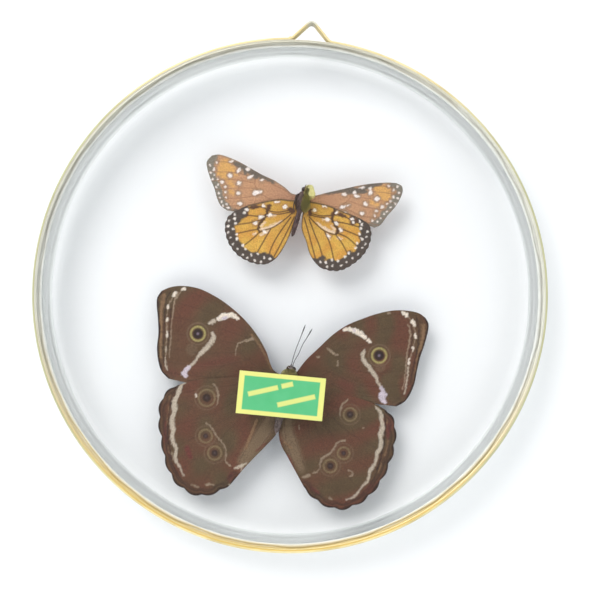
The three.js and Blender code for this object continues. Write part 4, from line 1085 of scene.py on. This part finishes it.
            [(31.8, -15.4, 0.2), (32.3, -15.4, 0.2)], [(6, -16.3, 0.13), (6.1, -17.8, 0.2)],
            [(20.6, -44.5, 0.4), (21.3, -45.1, 0.34)]],
        "line": [[(40, -9.5, 0.27), (40.9, -12.8, 0.27), (40.9, -16.9, 0.27), (40.7, -22.3, 0.27),
             (39.8, -27.7, 0.27), (38.6, -33.2, 0.27), (37.2, -36.7, 0.2), (35, -40.3, 0.2),
             (32.1, -43.6, 0.2), (28.9, -45.7, 0.2)]],
    },
}


# All wings
wingForm = {
    "thickness": 0.18,
    "riseCurve": 1.5,
    "layerStep": 0.42,  # the hind wings lie this much nearer to the pane
    "lobeMiddle": 0.6,  # a lobe's height that lies on the drawn margin, from 0 in the notch to 1
    "lobeFade": 30,  # the lobes fade out over one part in so many at the margin's ends
    "veinHeight": 0.07,
    "veinWidth": 0.3,
    "pleat": 0.1,
    "pleatWidth": 1.3,
    "curl": 0.08,
    "ragged": 0.17,  # how far the marks' edges stray
    "raggedWave": 1.9,  # and over what length
}


# The wing's plan: P(s, t) = (1 - t) costa(s) + t inner(s) + (1 - s) root(t) + s margin(t), less the blend
# of the four corners; s runs from the root out, t from the leading edge back. The hind wings' margin swells
# into lobes, |sin(lobes pi t)| high.
def wingPlan(species, wing, lobes):
    rows, columns = species["rows"], species["columns"]
    costa, inner = smoothLine(wing["costa"], rows), smoothLine(wing["inner"], rows)
    root = smoothLine([wing["costa"][0], wing["inner"][0]], columns)
    margin = smoothLine([wing["costa"][-1], *wing["margin"], wing["inner"][-1]], columns)
    t = np.linspace(0, 1, columns + 1)
    if lobes:
        along = np.gradient(margin, axis=0)
        along /= np.linalg.norm(along, axis=1, keepdims=True)
        swell = (np.abs(np.sin(t * lobes * np.pi)) - wingForm["lobeMiddle"]) * species["lobeDepth"]
        swell = swell * np.clip(np.minimum(t, 1 - t) * wingForm["lobeFade"], 0, 1) * wing["side"]
        margin = margin + swell[:, None] * np.stack([-along[:, 1], along[:, 0]], -1)
    s, t = np.linspace(0, 1, rows + 1)[:, None, None], t[None, :, None]
    corners = (1 - s) * ((1 - t) * costa[0] + t * inner[0]) + s * ((1 - t) * costa[-1] + t * inner[-1])
    return (1 - t) * costa[:, None] + t * inner[:, None] + (1 - s) * root + s * margin - corners


# The wing's height over its plan: flat at the body, rising to the tip, with pleats between the veins and a
# slight dried curl, y = level + rise (|x| / span) ^ 1.5 + pleats + waves
def wingHeight(species, plan, veinGap, hind):
    reach = np.abs(plan[..., 0]) / species["span"]
    height = species["foreLevel"] + species["rise"] * reach ** wingForm["riseCurve"]
    if hind:
        height = height - wingForm["layerStep"]
    pleats = wingForm["pleat"] * (np.exp(-(veinGap / wingForm["pleatWidth"]) ** 2) - 0.4)
    curl = wingForm["curl"] * unevenness(plan, species["span"] * 0.7) * np.clip(reach * 2, 0, 1)
    return height + pleats * np.clip(reach * 4, 0, 1) + curl


# A wing: the plan at its height, half the thickness to either side, and a rib along each vein; gaps are how
# far each place is from the wing's edges and its nearest vein
def buildWing(kind, species, key, materials, fieldsOf):
    wing, hind = species["wings"][key], key.endswith("hind")
    plan = wingPlan(species, wing, species["lobes"] if hind else 0)
    edge = nearLine(plan, plan[-1, ::2])[0]
    lead = nearLine(plan, plan[::2, 0])[0]
    trail = nearLine(plan, plan[::2, -1])[0]
    veinGap = np.minimum.reduce([nearLine(plan, smoothLine(vein, 14))[0] for vein in wing["veins"]])
    height = species["depth"] + wingHeight(species, plan, veinGap, hind)
    rib = wingForm["veinHeight"] * np.exp(-(veinGap / wingForm["veinWidth"]) ** 2)
    rim = np.minimum.reduce([edge, lead, trail])
    half = wingForm["thickness"] / 2 * (0.6 + 0.4 * np.clip(rim, 0, 1))
    spot = np.array(species["place"])
    under = np.stack([plan[..., 0] + spot[0], height - half - rib, plan[..., 1] + spot[1]], -1)
    over = np.stack([plan[..., 0] + spot[0], height + half + 0.4 * rib, plan[..., 1] + spot[1]], -1)
    along = np.broadcast_to(np.linspace(0, 1, plan.shape[1]), plan.shape[:2])
    gaps = {"edge": edge, "lead": lead, "trail": trail, "vein": veinGap, "along": along}
    fields = fieldsOf(wing, plan, gaps)
    fields = {field: np.concatenate([values.ravel()] * 2) for field, values in fields.items()}
    shell = sheetShell(under, over, fields=fields)
    return buildPiece(f"{kind}_{key}_wing", [shell], materials, f"{kind}_butterfly")


# The plan shifted about by a fraction of a millimetre, which leaves the marks' edges uneven
def ragged(plan):
    shift = np.stack([unevenness(plan, wingForm["raggedWave"]) for axis in range(2)], -1)
    return plan + wingForm["ragged"] * shift


# The orange butterfly's marks, all 0 to 1
def queenFields(wing, plan, gaps):
    hind = "rowSpots" in wing
    plan = ragged(plan)
    border = queen["border"][hind] * (0.88 + 0.1 * unevenness(plan, 5.0))
    brink = np.maximum(softEdge(0.55, gaps["lead"], 0.6), softEdge(0.4, gaps["trail"], 0.6))
    dot, less = queen["dotRadius"], queen["spotShare"]
    dots = spotMask(plan, [(x, z, dot, dot, 0) for x, z in wing["dots"]], 0.45)
    rowSpots = spotMask(plan, [(x, z, *queen["rowSpot"], 0) for x, z in wing.get("rowSpots", [])], 0.45)
    spots = spotMask(plan, [(x, z, less * wide, less * high, turn)
                            for x, z, wide, high, turn in wing["spots"]], 0.6)
    pink = [[(x, z, queen["pinkShare"] * half) for x, z, half in line] for line in wing.get("pink", [])]
    vein = softEdge(queen["veinHalf"][hind], gaps["vein"], 0.5)
    if hind:  # the third vein goes round the cell
        cellGap = nearLine(plan, smoothLine(wing["veins"][2], 10))[0]
        vein = np.maximum(vein, softEdge(queen["cellVein"], cellGap, 0.5))
    return {
        "gold": bandMask(plan, wing.get("gold", []), 2.2),
        "lemon": np.clip(0.5 + 0.6 * unevenness(plan, 9.0), 0, 1),
        "rootward": np.clip(1 - np.linalg.norm(plan, axis=-1) / 22, 0, 1) ** 1.3,
        "dusk": softEdge(border * 0.55, gaps["edge"], 2.2),
        "border": np.maximum(softEdge(border, gaps["edge"], 1.0), brink * queen["brinkShows"][hind]),
        "dark": bandMask(plan, wing["dark"], 0.9),
        "vein": vein,
        "halo": softEdge(1.4, spotDistance(plan, wing["spots"]), 0.9),
        "pink": bandMask(plan, pink, 0.9),
        "white": np.maximum(np.maximum(dots, rowSpots) * queen["rowWhite"], spots),
        "upperBorder": softEdge(border * 1.15, gaps["edge"], 0.8),
        "upperBrink": np.maximum(softEdge(0.9, gaps["lead"], 0.6), softEdge(0.5, gaps["trail"], 0.5)),
    }


# How far each place is from the nearest spot's edge, 0 inside it
def spotDistance(plan, spots):
    best = np.full(plan.shape[:2], np.inf)
    for x, z, wide, high, turn in spots:
        away = np.hypot(plan[..., 0] - x, plan[..., 1] - z)
        best = np.minimum(best, np.maximum(away - 0.8 * (wide * high) ** 0.5, 0) + 0.6)
    return best


# The blue butterfly's brown underside, all 0 to 1; scallops are arcs between the veins along the margin
def morphoFields(wing, plan, gaps):
    hind = "fold" in wing
    shows = {mark: pair[hind] for mark, pair in morpho["shows"].items()}
    even, plan = plan, ragged(plan)
    arcs = np.abs(np.sin(gaps["along"] * morpho["lobes"] * np.pi))
    sway = unevenness(plan, 6.0)
    away, grow, half = morpho["scallop"]
    scallop = softEdge(half, np.abs(gaps["edge"] - away - grow * arcs), 0.45)
    wide, grow, stray = morpho["darkEdge"]
    outer = softEdge(wide + grow * arcs + stray * sway, gaps["edge"], 0.5)
    away, half = morpho["shadeLine"]
    shade = softEdge(half, np.abs(gaps["edge"] - away), 1.0)
    # the eye spots are true circles, so they are worked out on the plan as it was
    eyes, size, (away, half) = wing["eyes"], morpho["pupil"], morpho["halo"]
    discs = spotMask(even, [(x, z, disc, disc, 0) for x, z, disc, ring in eyes], 0.6)
    pupils = spotMask(even, [(x, z, size, size, 0) for x, z, disc, ring in eyes], 0.8)
    rings = ringMask(even, [(x, z, ring, morpho["ringHalf"]) for x, z, disc, ring in eyes], 0.6)
    haloes = ringMask(even, [(x, z, ring + away, half) for x, z, disc, ring in eyes], 0.7)
    ghosts = spotMask(even, [(x, z, ghost, ghost, 0) for x, z, ghost in wing["ghostEyes"]], 1.2)
    near = np.linalg.norm(plan, axis=-1)
    bowed = plan - np.stack([morpho["bow"] * (arcs - 0.6) * np.sign(plan[..., 0]), 0 * arcs], -1) * hind
    fold = bandMask(plan, [wing["fold"]], 2.6) if hind else softEdge(1.0, gaps["trail"], 4.0) * 0.4
    return {
        **{mark: bandMask(plan, wing[mark], blur) for mark, blur in morpho["softness"].items()},
        "pale": bandMask(bowed, wing["pale"], 0.8),
        "fold": fold,
        "ruddy": np.clip(0.45 + 0.55 * unevenness(plan, 16.0), 0, 1),
        "rust": bandMask(plan, wing["rust"], wing["rustBlur"]) * shows["rust"],
        "dark": np.maximum.reduce([scallop * shows["scallop"], outer, shade * shows["shadeLine"],
                                   bandMask(plan, wing["line"], 0.6)]),
        "vein": softEdge(0.12, gaps["vein"], 0.4) * np.clip(near / 12, 0.3, 1) * 0.45,
        "faint": np.maximum.reduce([haloes * shows["halo"], ghosts * 0.5, rings * shows["ring"]]),
        "olive": rings * shows["olive"],
        "disc": discs * shows["disc"],
        "pupil": pupils * shows["pupil"],
        "upperBorder": softEdge(morpho["upperBorder"][hind] + 0.3 * sway, gaps["edge"], 1.2),
        "upperBrink": softEdge(morpho["upperBrink"], gaps["lead"], 0.8),
        "upperRoot": np.clip(1 - near / 9, 0, 1),
    }


# Wing scales: overlapping dust, matt to satin, drawn about half a millimetre wide, which is coarser than
# real scales, so that it shows. Ground and mottle are the colours between the marks, in patches of a few
# millimetres, and grain is how strongly single scales differ.
def scaleCoat(name, ground, mottle, layers, roughness=0.72, metallic=0.0, grain=0.35):
    material, tree, output = newMaterial(name)
    place = addNode(tree, "ShaderNodeTexCoord")
    base = patchyColours(tree, place, 5.5, 3.0, ground, mottle)[1]
    colour = layColours(tree, base, layers)
    dust = addNode(tree, "ShaderNodeTexNoise",
                   {"Scale": perMetre(0.45), "Detail": 4.0, "Roughness": 0.7},
                   {"Vector": place.outputs["Object"]})
    depth = addNode(tree, "ShaderNodeMapRange",
                    {"From Min": 0.3, "From Max": 0.7, "To Min": 1 - grain, "To Max": 1 + grain},
                    {"Value": dust.outputs["Fac"]})
    speckled = addNode(tree, "ShaderNodeVectorMath", {"operation": "SCALE"},
                       {0: colour, "Scale": depth.outputs[0]})
    finishCoat(tree, output, speckled.outputs[0], dust.outputs["Fac"], 0.5, 0.00006,
               {"Roughness": roughness, "Metallic": metallic, "Specular IOR Level": 0.3})
    return material


queenUnder = scaleCoat("orange butterfly scales, underside of a fore wing", "#AF8464", "#B98B66", [
    ("rootward", "#A0745C"), ("gold", "#CA9A5A"), ("halo", "#9A7A5E"), ("dusk", "#8A7B6A"),
    ("border", "#7A7265"), ("vein", "#8A634A"), ("dark", "#665B50"), ("white", "#E0D4CC")])
queenUnderHind = scaleCoat("orange butterfly scales, underside of a hind wing", "#CC9744", "#BC873A", [
    ("lemon", "#C99F48"), ("rootward", "#AC8038"), ("halo", "#A87E44"), ("pink", "#D6BCA0"),
    ("dark", "#573A2A"), ("vein", "#533824"), ("border", "#4A3F38"), ("white", "#E0D6CC")])
queenUpper = scaleCoat("orange butterfly scales, upper side", "#B8621E", "#A85618", [
    ("vein", "#3A2014"), ("upperBorder", "#1E1512"), ("upperBrink", "#1E1512"), ("white", "#F2EEE6")])
morphoUnder = scaleCoat("blue butterfly's brown scales, underside", "#4D3B27", "#57462F", [
    ("ruddy", "#5E3929"), ("fold", "#6E5A44"), ("rust", "#62302A"), ("tan", "#7E6044"),
    ("vein", "#432E23"), ("dark", "#33231B"), ("faint", "#6C5843"), ("olive", "#978B56"),
    ("disc", "#2B1E18"), ("pupil", "#7C6A7C"), ("thin", "#927E69"), ("beige", "#8B7964"),
    ("pale", "#ADA08E"), ("cream", "#D6CABA"), ("lilac", "#BCB0B8")])
# structural blue: satin metal-like scales that turn paler towards the light
morphoUpper = scaleCoat("blue butterfly's metallic scales, upper side", "#1E5FB8", "#2C7AD0", [
    ("upperRoot", "#20303C"), ("upperBorder", "#17120F"), ("upperBrink", "#1A1512"), ("thin", "#D8DCE4")],
    roughness=0.34, metallic=0.75, grain=0.2)

for key in queen["wings"]:
    under = queenUnderHind if key.endswith("hind") else queenUnder
    buildWing("queen", queen, key, [under, queenUpper], queenFields)
for key in morpho["wings"]:
    buildWing("morpho", morpho, key, [morphoUnder, morphoUpper], morphoFields)
print("wings done")


# Bodies: profiles are (radius, height along the body) from the head down to the tip
bodies = {
    "queen": {
        "profile": [(0.05, 6.4), (1.0, 6.0), (1.3, 5.2), (1.1, 4.4), (1.9, 3.6), (2.4, 2.0), (2.5, 0.2),
                    (2.0, -1.8), (1.3, -3.4), (0.95, -4.6), (1.05, -8.0), (0.9, -11.4), (0.55, -13.6),
                    (0.05, -14.4)],
        "lean": 11.5,  # degrees, clockwise from behind
        "eye": (0.75, 5.3, 0.85),  # radius, height along the body, distance from its middle
        "legRadius": 0.26,
        "legStarts": [2.6, 0.6],
        "legPath": [(1.3, -1.2, 0), (2.6, -1.5, -0.2), (2.8, -1.35, -2.7), (1.8, -1.5, -5.4)],
        "antennae": [],
        "hairs": 1800,
        "hairLength": 1.1,
    },
    "morpho": {
        "profile": [(0.05, 7.2), (1.2, 6.8), (1.6, 6.0), (1.2, 5.1), (2.4, 4.2), (3.2, 2.4), (3.4, 0.2),
                    (2.9, -2.4), (1.9, -4.4), (1.5, -5.8), (1.7, -9.5), (1.5, -15.0), (1.0, -19.0),
                    (0.05, -20.6)],
        "lean": 8.7,
        "eye": (0.95, 6.3, 1.0),
        "legRadius": 0.3,
        "legStarts": [2.8, 0.6],
        "legPath": [(1.65, -1.5, 0), (3.3, -1.9, -0.2), (3.6, -1.7, -3.3), (2.3, -1.9, -6.6)],
        "antennae": [[(1.2, 6.6), (2.1, 9.6), (3.5, 12.6), (4.8, 16.4), (6.4, 19.5), (8.1, 23.0)],
                     [(0.8, 6.6), (1.3, 10.0), (2.2, 14.0), (3.5, 18.4), (5.2, 24.2)]],
        "hairs": 3200,
        "hairLength": 1.5,
    },
    "ringLength": 1.5,  # one ring of the abdomen
    "ringDepth": 0.14,
    "trunkSteps": 150,
    "trunkSides": 40,
    "limbSides": 8,
    "legSteps": 30,
    "hairWidth": 0.09,
    "antennaRadius": 0.17,
    "antennaDrop": 0.35,  # how much nearer to the pane each next point of an antenna lies
    "antennaSteps": 60,
}


# Turned by the body's lean about the case's axis, and moved to its place in the case
def leant(points, body, species):
    turn = np.radians(body["lean"])
    x = points[..., 0] * np.cos(turn) + points[..., 2] * np.sin(turn)
    z = points[..., 2] * np.cos(turn) - points[..., 0] * np.sin(turn)
    x, z = x + species["place"][0], z + species["place"][1]
    return np.stack([x, points[..., 1] + species["depth"], z], -1)


# Dried insect skin with a coat of short scales: dull, mottled, browner towards the tail, a little shine on
# the bare parts
def bodyCoat(name, dark, pale, roughness):
    material, tree, output = newMaterial(name)
    place = addNode(tree, "ShaderNodeTexCoord")
    fuzz, colour = patchyColours(tree, place, 0.7, 5.0, dark, pale, (0.35, 0.65))
    worn = addNode(tree, "ShaderNodeAttribute", {"attribute_name": "tailward"})
    toned = addNode(tree, "ShaderNodeMix",
                    {"data_type": "RGBA", "blend_type": "MULTIPLY", 7: (0.8, 0.72, 0.7, 1)},
                    {0: worn.outputs["Fac"], 6: colour})
    finishCoat(tree, output, toned.outputs[2], fuzz, 0.7, 0.00012, {"Roughness": roughness})
    return material


# Head, thorax and ringed abdomen: the profile turned round the body, with a groove at each abdomen ring
def trunkShell(body, species):
    line, sides = smoothLine(body["profile"], bodies["trunkSteps"]), bodies["trunkSides"]
    radius, along = line[:, 0], line[:, 1]
    belly = np.clip((-along - 4.0) / 1.5, 0, 1)
    groove = np.abs(np.sin(np.pi * along / bodies["ringLength"])) ** 0.5 - 0.75
    radius = np.maximum(radius * (1 + bodies["ringDepth"] * groove * belly), 0.02)
    angle = np.arange(sides) / sides * 2 * np.pi
    down = along[:, None]
    lump = 1 + 0.03 * np.sin(3 * angle + down * 0.9) + 0.02 * np.sin(7 * angle - down)
    x = radius[:, None] * np.cos(angle) * lump
    y = radius[:, None] * np.sin(angle) * lump * 0.97
    rings = leant(np.stack([x, y, np.broadcast_to(down, x.shape)], -1), body, species)
    tailward = np.concatenate([[0], np.repeat(np.clip((-along - 3) / 3, 0, 1), sides), [1]])
    ends = leant(np.array([[0, 0, along[0] + 0.02], [0, 0, along[-1] - 0.02]]), body, species)
    return ringShell(rings, ends[0], ends[1], material=0, fields={"tailward": tailward})


# Fine hair over the thorax and head: roots on the profile's surface, combed back towards the abdomen
def thoraxHairs(body, species):
    line = smoothLine(body["profile"], bodies["trunkSteps"])
    count = body["hairs"]
    along = draw.uniform(-3.2, body["profile"][0][1] - 0.8, count)
    radius = np.interp(along, line[::-1, 1], line[::-1, 0])
    angle = draw.uniform(0, 2 * np.pi, count)
    roots = np.stack([radius * np.cos(angle), radius * np.sin(angle), along], -1) * [0.96, 0.94, 1]
    lift = draw.uniform(0.25, 0.8, count)
    comb = np.stack([np.cos(angle) * lift, np.sin(angle) * lift, np.full(count, -0.7)], -1)
    comb += draw.normal(0, 0.22, comb.shape)
    comb /= np.linalg.norm(comb, axis=1, keepdims=True)
    length = body["hairLength"] * draw.uniform(0.45, 1.0, count)
    tips = roots + comb * length[:, None]
    roots, tips = leant(roots, body, species), leant(tips, body, species)
    return hairShell(roots, (tips - roots) / length[:, None], length, bodies["hairWidth"], material=1)


# The trunk and its hairs, then on either side an eye, a palp and the folded legs, and the antennae
def bodyShells(body, species):
    shells, sides = [trunkShell(body, species), thoraxHairs(body, species)], bodies["limbSides"]
    size, high, aside = body["eye"]
    for side in (-1, 1):
        eye = blobShell((0, 0, 0), (size, size, size * 1.1), 0.0, 14)
        eye["points"] = leant(eye["points"] + [side * aside, -0.2, high], body, species)
        shells.append({**eye, "material": 2})
        palp = tubeShell(smoothLine([(side * 0.35, -0.5, high + 0.6), (side * 0.45, -0.7, high + 1.3),
                                     (side * 0.3, -0.4, high + 1.9)], 8), np.linspace(0.3, 0.1, 9), sides)
        palp["points"] = leant(palp["points"], body, species)
        shells.append({**palp, "material": 0})
        for start in body["legStarts"]:
            path = smoothLine([(side * out, y, start + along) for out, y, along in body["legPath"]],
                              bodies["legSteps"])
            thin = np.interp(np.arange(len(path)), [0, 10, 12, 20, 22, 30], [1, 0.9, 1.1, 0.7, 0.8, 0.35])
            leg = tubeShell(path, thin * body["legRadius"], sides)
            leg["points"] = leant(leg["points"], body, species)
            shells.append({**leg, "material": 3})
    for path in body["antennae"]:
        drop = np.array([(x, -bodies["antennaDrop"] * i, z) for i, (x, z) in enumerate(path)])
        line = smoothLine(drop, bodies["antennaSteps"])
        line = line + [species["place"][0], species["depth"], species["place"][1]]
        thick = np.interp(np.arange(len(line)), [0, 6, 44, 55, 60], [1.1, 0.75, 0.8, 1.5, 0.6])
        shells.append(tubeShell(line, thick * bodies["antennaRadius"], sides, material=3))
    return shells


def buildBodies():
    chitin = bodyCoat("bare dark insect skin of legs and antennae", "#1C1512", "#33261E", 0.42)
    eyeSkin = bodyCoat("dried compound eye", "#241A16", "#4A352A", 0.25)
    queenSkin = bodyCoat("orange butterfly's dark body scales", "#3A2A28", "#5C4640", 0.7)
    queenHair = bodyCoat("orange butterfly's thorax hair", "#2E2420", "#6A5A50", 0.6)
    morphoSkin = bodyCoat("blue butterfly's grey body scales", "#554A48", "#80746F", 0.7)
    morphoHair = bodyCoat("blue butterfly's thorax hair", "#5A4638", "#8A7668", 0.6)
    buildPiece("queen_body", bodyShells(bodies["queen"], queen), [queenSkin, queenHair, eyeSkin, chitin],
               "queen_butterfly")
    buildPiece("morpho_body", bodyShells(bodies["morpho"], morpho),
               [morphoSkin, morphoHair, eyeSkin, chitin], "morpho_butterfly")


buildBodies()
print("bodies done")


# The board behind, the floor, the light and the camera
stage = {
    "wall": 19.9,  # just behind the display side, case millimetres
    "reach": 2.2,  # metres each way
    "floor": -0.85,  # metres
    "white": "#FBFBFA",
    "camera": (3.94, -380.0, -1.81),  # in the case's frame as the camera sees it, millimetres
    "turn": 4.6,  # degrees that the case hangs turned in the picture
    "lens": 57.91,
    "key": 17.5,  # watts
    "keySize": 1.1,
    "keyAway": 1.8,
    "keyFrom": (-0.7, -1.0, 0.8),  # above and to the left, on the camera's side
    "fill": 6.0,
    "fillSize": 1.2,
    "fillPlace": (0.3, 1.4, 0.5),  # on the display side, for the views from there
    "glare": 0.75,
    "glareAt": (0.03, -0.97, 0.215),  # the patch's direction from the case
    "glareScale": (5.0, 1.0, 14.0),  # one over its half width, depth and half height
    "world": 1.15,
    "worldBehind": 0.12,  # straight behind the camera
    "worldHex": "#F8FBFF",
}


# Matt white board, faintly mottled as rolled paint is; seen from behind it is clear, so that the display
# side can be looked at
def paintedBoard(name, oneSided):
    material, tree, output = newMaterial(name)
    place = addNode(tree, "ShaderNodeTexCoord")
    colour = patchyColours(tree, place, 90, 3.0, stage["white"], "#F6F7F7")[1]
    body = addNode(tree, "ShaderNodeBsdfPrincipled", {"Roughness": 0.9, "Specular IOR Level": 0.1},
                   {"Base Color": colour})
    surface = body.outputs[0]
    if oneSided:
        facing = addNode(tree, "ShaderNodeNewGeometry")
        clear = addNode(tree, "ShaderNodeBsdfTransparent")
        mix = addNode(tree, "ShaderNodeMixShader", None,
                      {0: facing.outputs["Backfacing"], 1: body.outputs[0], 2: clear.outputs[0]})
        surface = mix.outputs[0]
    tree.links.new(surface, output.inputs["Surface"])
    return material


# The wall that the case hangs against and a floor below, each one face
def buildStage():
    reach, wallY = stage["reach"], (stage["wall"] + caseOrigin[1]) / 1000
    wall = [(-reach, wallY, stage["floor"]), (reach, wallY, stage["floor"]),
            (reach, wallY, reach), (-reach, wallY, reach)]
    floor = [(-reach, -reach, stage["floor"]), (reach, -reach, stage["floor"]),
             (reach, wallY, stage["floor"]), (-reach, wallY, stage["floor"])]
    for name, corners, oneSided in (("white_wall", wall, True), ("white_floor", floor, False)):
        mesh = bpy.data.meshes.new(name)
        mesh.from_pydata(corners, [], [(0, 1, 2, 3)])
        mesh.materials.append(paintedBoard(name.replace("_", " "), oneSided))
        board = bpy.data.objects.new(name, mesh)
        bpy.context.scene.collection.objects.link(board)


# A white round lamp that looks at the case's centre from a place in metres
def addLamp(name, place, energy, size):
    data = bpy.data.lights.new(name, "AREA")
    data.energy, data.shape, data.size = energy, "DISK", size
    lamp = bpy.data.objects.new(name, data)
    centre = np.array([0.0, 0.0, caseOrigin[2] / 1000])
    away = np.array(place, float)
    back = away / np.linalg.norm(away)
    right = np.cross([0.0, 0.0, 1.0], back)
    right /= np.linalg.norm(right)
    up = np.cross(back, right)
    turn = Matrix(((right[0], up[0], back[0], 0), (right[1], up[1], back[1], 0),
                   (right[2], up[2], back[2], 0), (0, 0, 0, 1)))
    lamp.matrix_world = Matrix.Translation(centre + away) @ turn
    bpy.context.scene.collection.objects.link(lamp)


# A soft key, a fill for the display side and a pale room
def buildLight():
    away = np.array(stage["keyFrom"])
    away = away / np.linalg.norm(away) * stage["keyAway"]
    addLamp("soft key", away, stage["key"], stage["keySize"])
    addLamp("rear fill", stage["fillPlace"], stage["fill"], stage["fillSize"])
    world = bpy.data.worlds.new("pale room")
    world.use_nodes = True
    tree = world.node_tree
    sky = tree.nodes["Background"]
    sky.inputs["Color"].default_value = linear(stage["worldHex"])
    # the room is dimmer straight behind the camera, where the panes mirror it
    around = addNode(tree, "ShaderNodeTexCoord")
    straight = addNode(tree, "ShaderNodeVectorMath", {"operation": "DOT_PRODUCT", 1: (0.0, -1.0, 0.0)},
                       {0: around.outputs["Generated"]})
    strength = addNode(tree, "ShaderNodeMapRange", {
        "interpolation_type": "SMOOTHSTEP", "From Min": 0.86, "From Max": 0.95,
        "To Min": stage["world"], "To Max": stage["worldBehind"]}, {"Value": straight.outputs["Value"]})
    # and a soft pale patch above the camera is the cream glare at the top of the pane
    fromPatch = addNode(tree, "ShaderNodeVectorMath", {"operation": "SUBTRACT", 1: stage["glareAt"]},
                        {0: around.outputs["Generated"]})
    scaled = addNode(tree, "ShaderNodeVectorMath", {"operation": "MULTIPLY", 1: stage["glareScale"]},
                     {0: fromPatch.outputs[0]})
    away = addNode(tree, "ShaderNodeVectorMath", {"operation": "LENGTH"}, {0: scaled.outputs[0]})
    patch = addNode(tree, "ShaderNodeMapRange", {
        "interpolation_type": "SMOOTHSTEP", "From Min": 0.1, "From Max": 1.3,
        "To Min": stage["glare"], "To Max": 0.0}, {"Value": away.outputs["Value"]})
    both = addNode(tree, "ShaderNodeMath", {"operation": "ADD"},
                   {0: strength.outputs[0], 1: patch.outputs[0]})
    tree.links.new(both.outputs[0], sky.inputs["Strength"])
    bpy.context.scene.world = world


# The camera looks straight at the case's plane, and the case hangs turned a little in its picture
def buildCamera():
    turn = np.radians(stage["turn"])
    right, up = np.array([np.cos(turn), 0, np.sin(turn)]), np.array([-np.sin(turn), 0, np.cos(turn)])
    aside, away, high = stage["camera"]
    place = (aside * right + high * up + [0, away, 0] + caseOrigin) / 1000
    data = bpy.data.cameras.new("camera")
    data.lens, data.sensor_width = stage["lens"], 36
    data.clip_start, data.clip_end = 0.01, 20
    camera = bpy.data.objects.new("camera", data)
    camera.matrix_world = Matrix(((right[0], up[0], 0, place[0]), (0, 0, -1, place[1]),
                                  (right[2], up[2], 0, place[2]), (0, 0, 0, 1)))
    bpy.context.scene.collection.objects.link(camera)
    bpy.context.scene.camera = camera


def setRender():
    scene = bpy.context.scene
    scene.view_settings.view_transform = "Standard"
    scene.view_settings.look = "None"
    scene.cycles.max_bounces = 16
    scene.cycles.transmission_bounces = 16
    scene.cycles.transparent_max_bounces = 24
    scene.cycles.glossy_bounces = 16
    scene.cycles.diffuse_bounces = 3
    scene.cycles.caustics_reflective = False
    scene.cycles.caustics_refractive = False


buildStage()
buildLight()
buildCamera()
setRender()
print("stage, light and camera done")
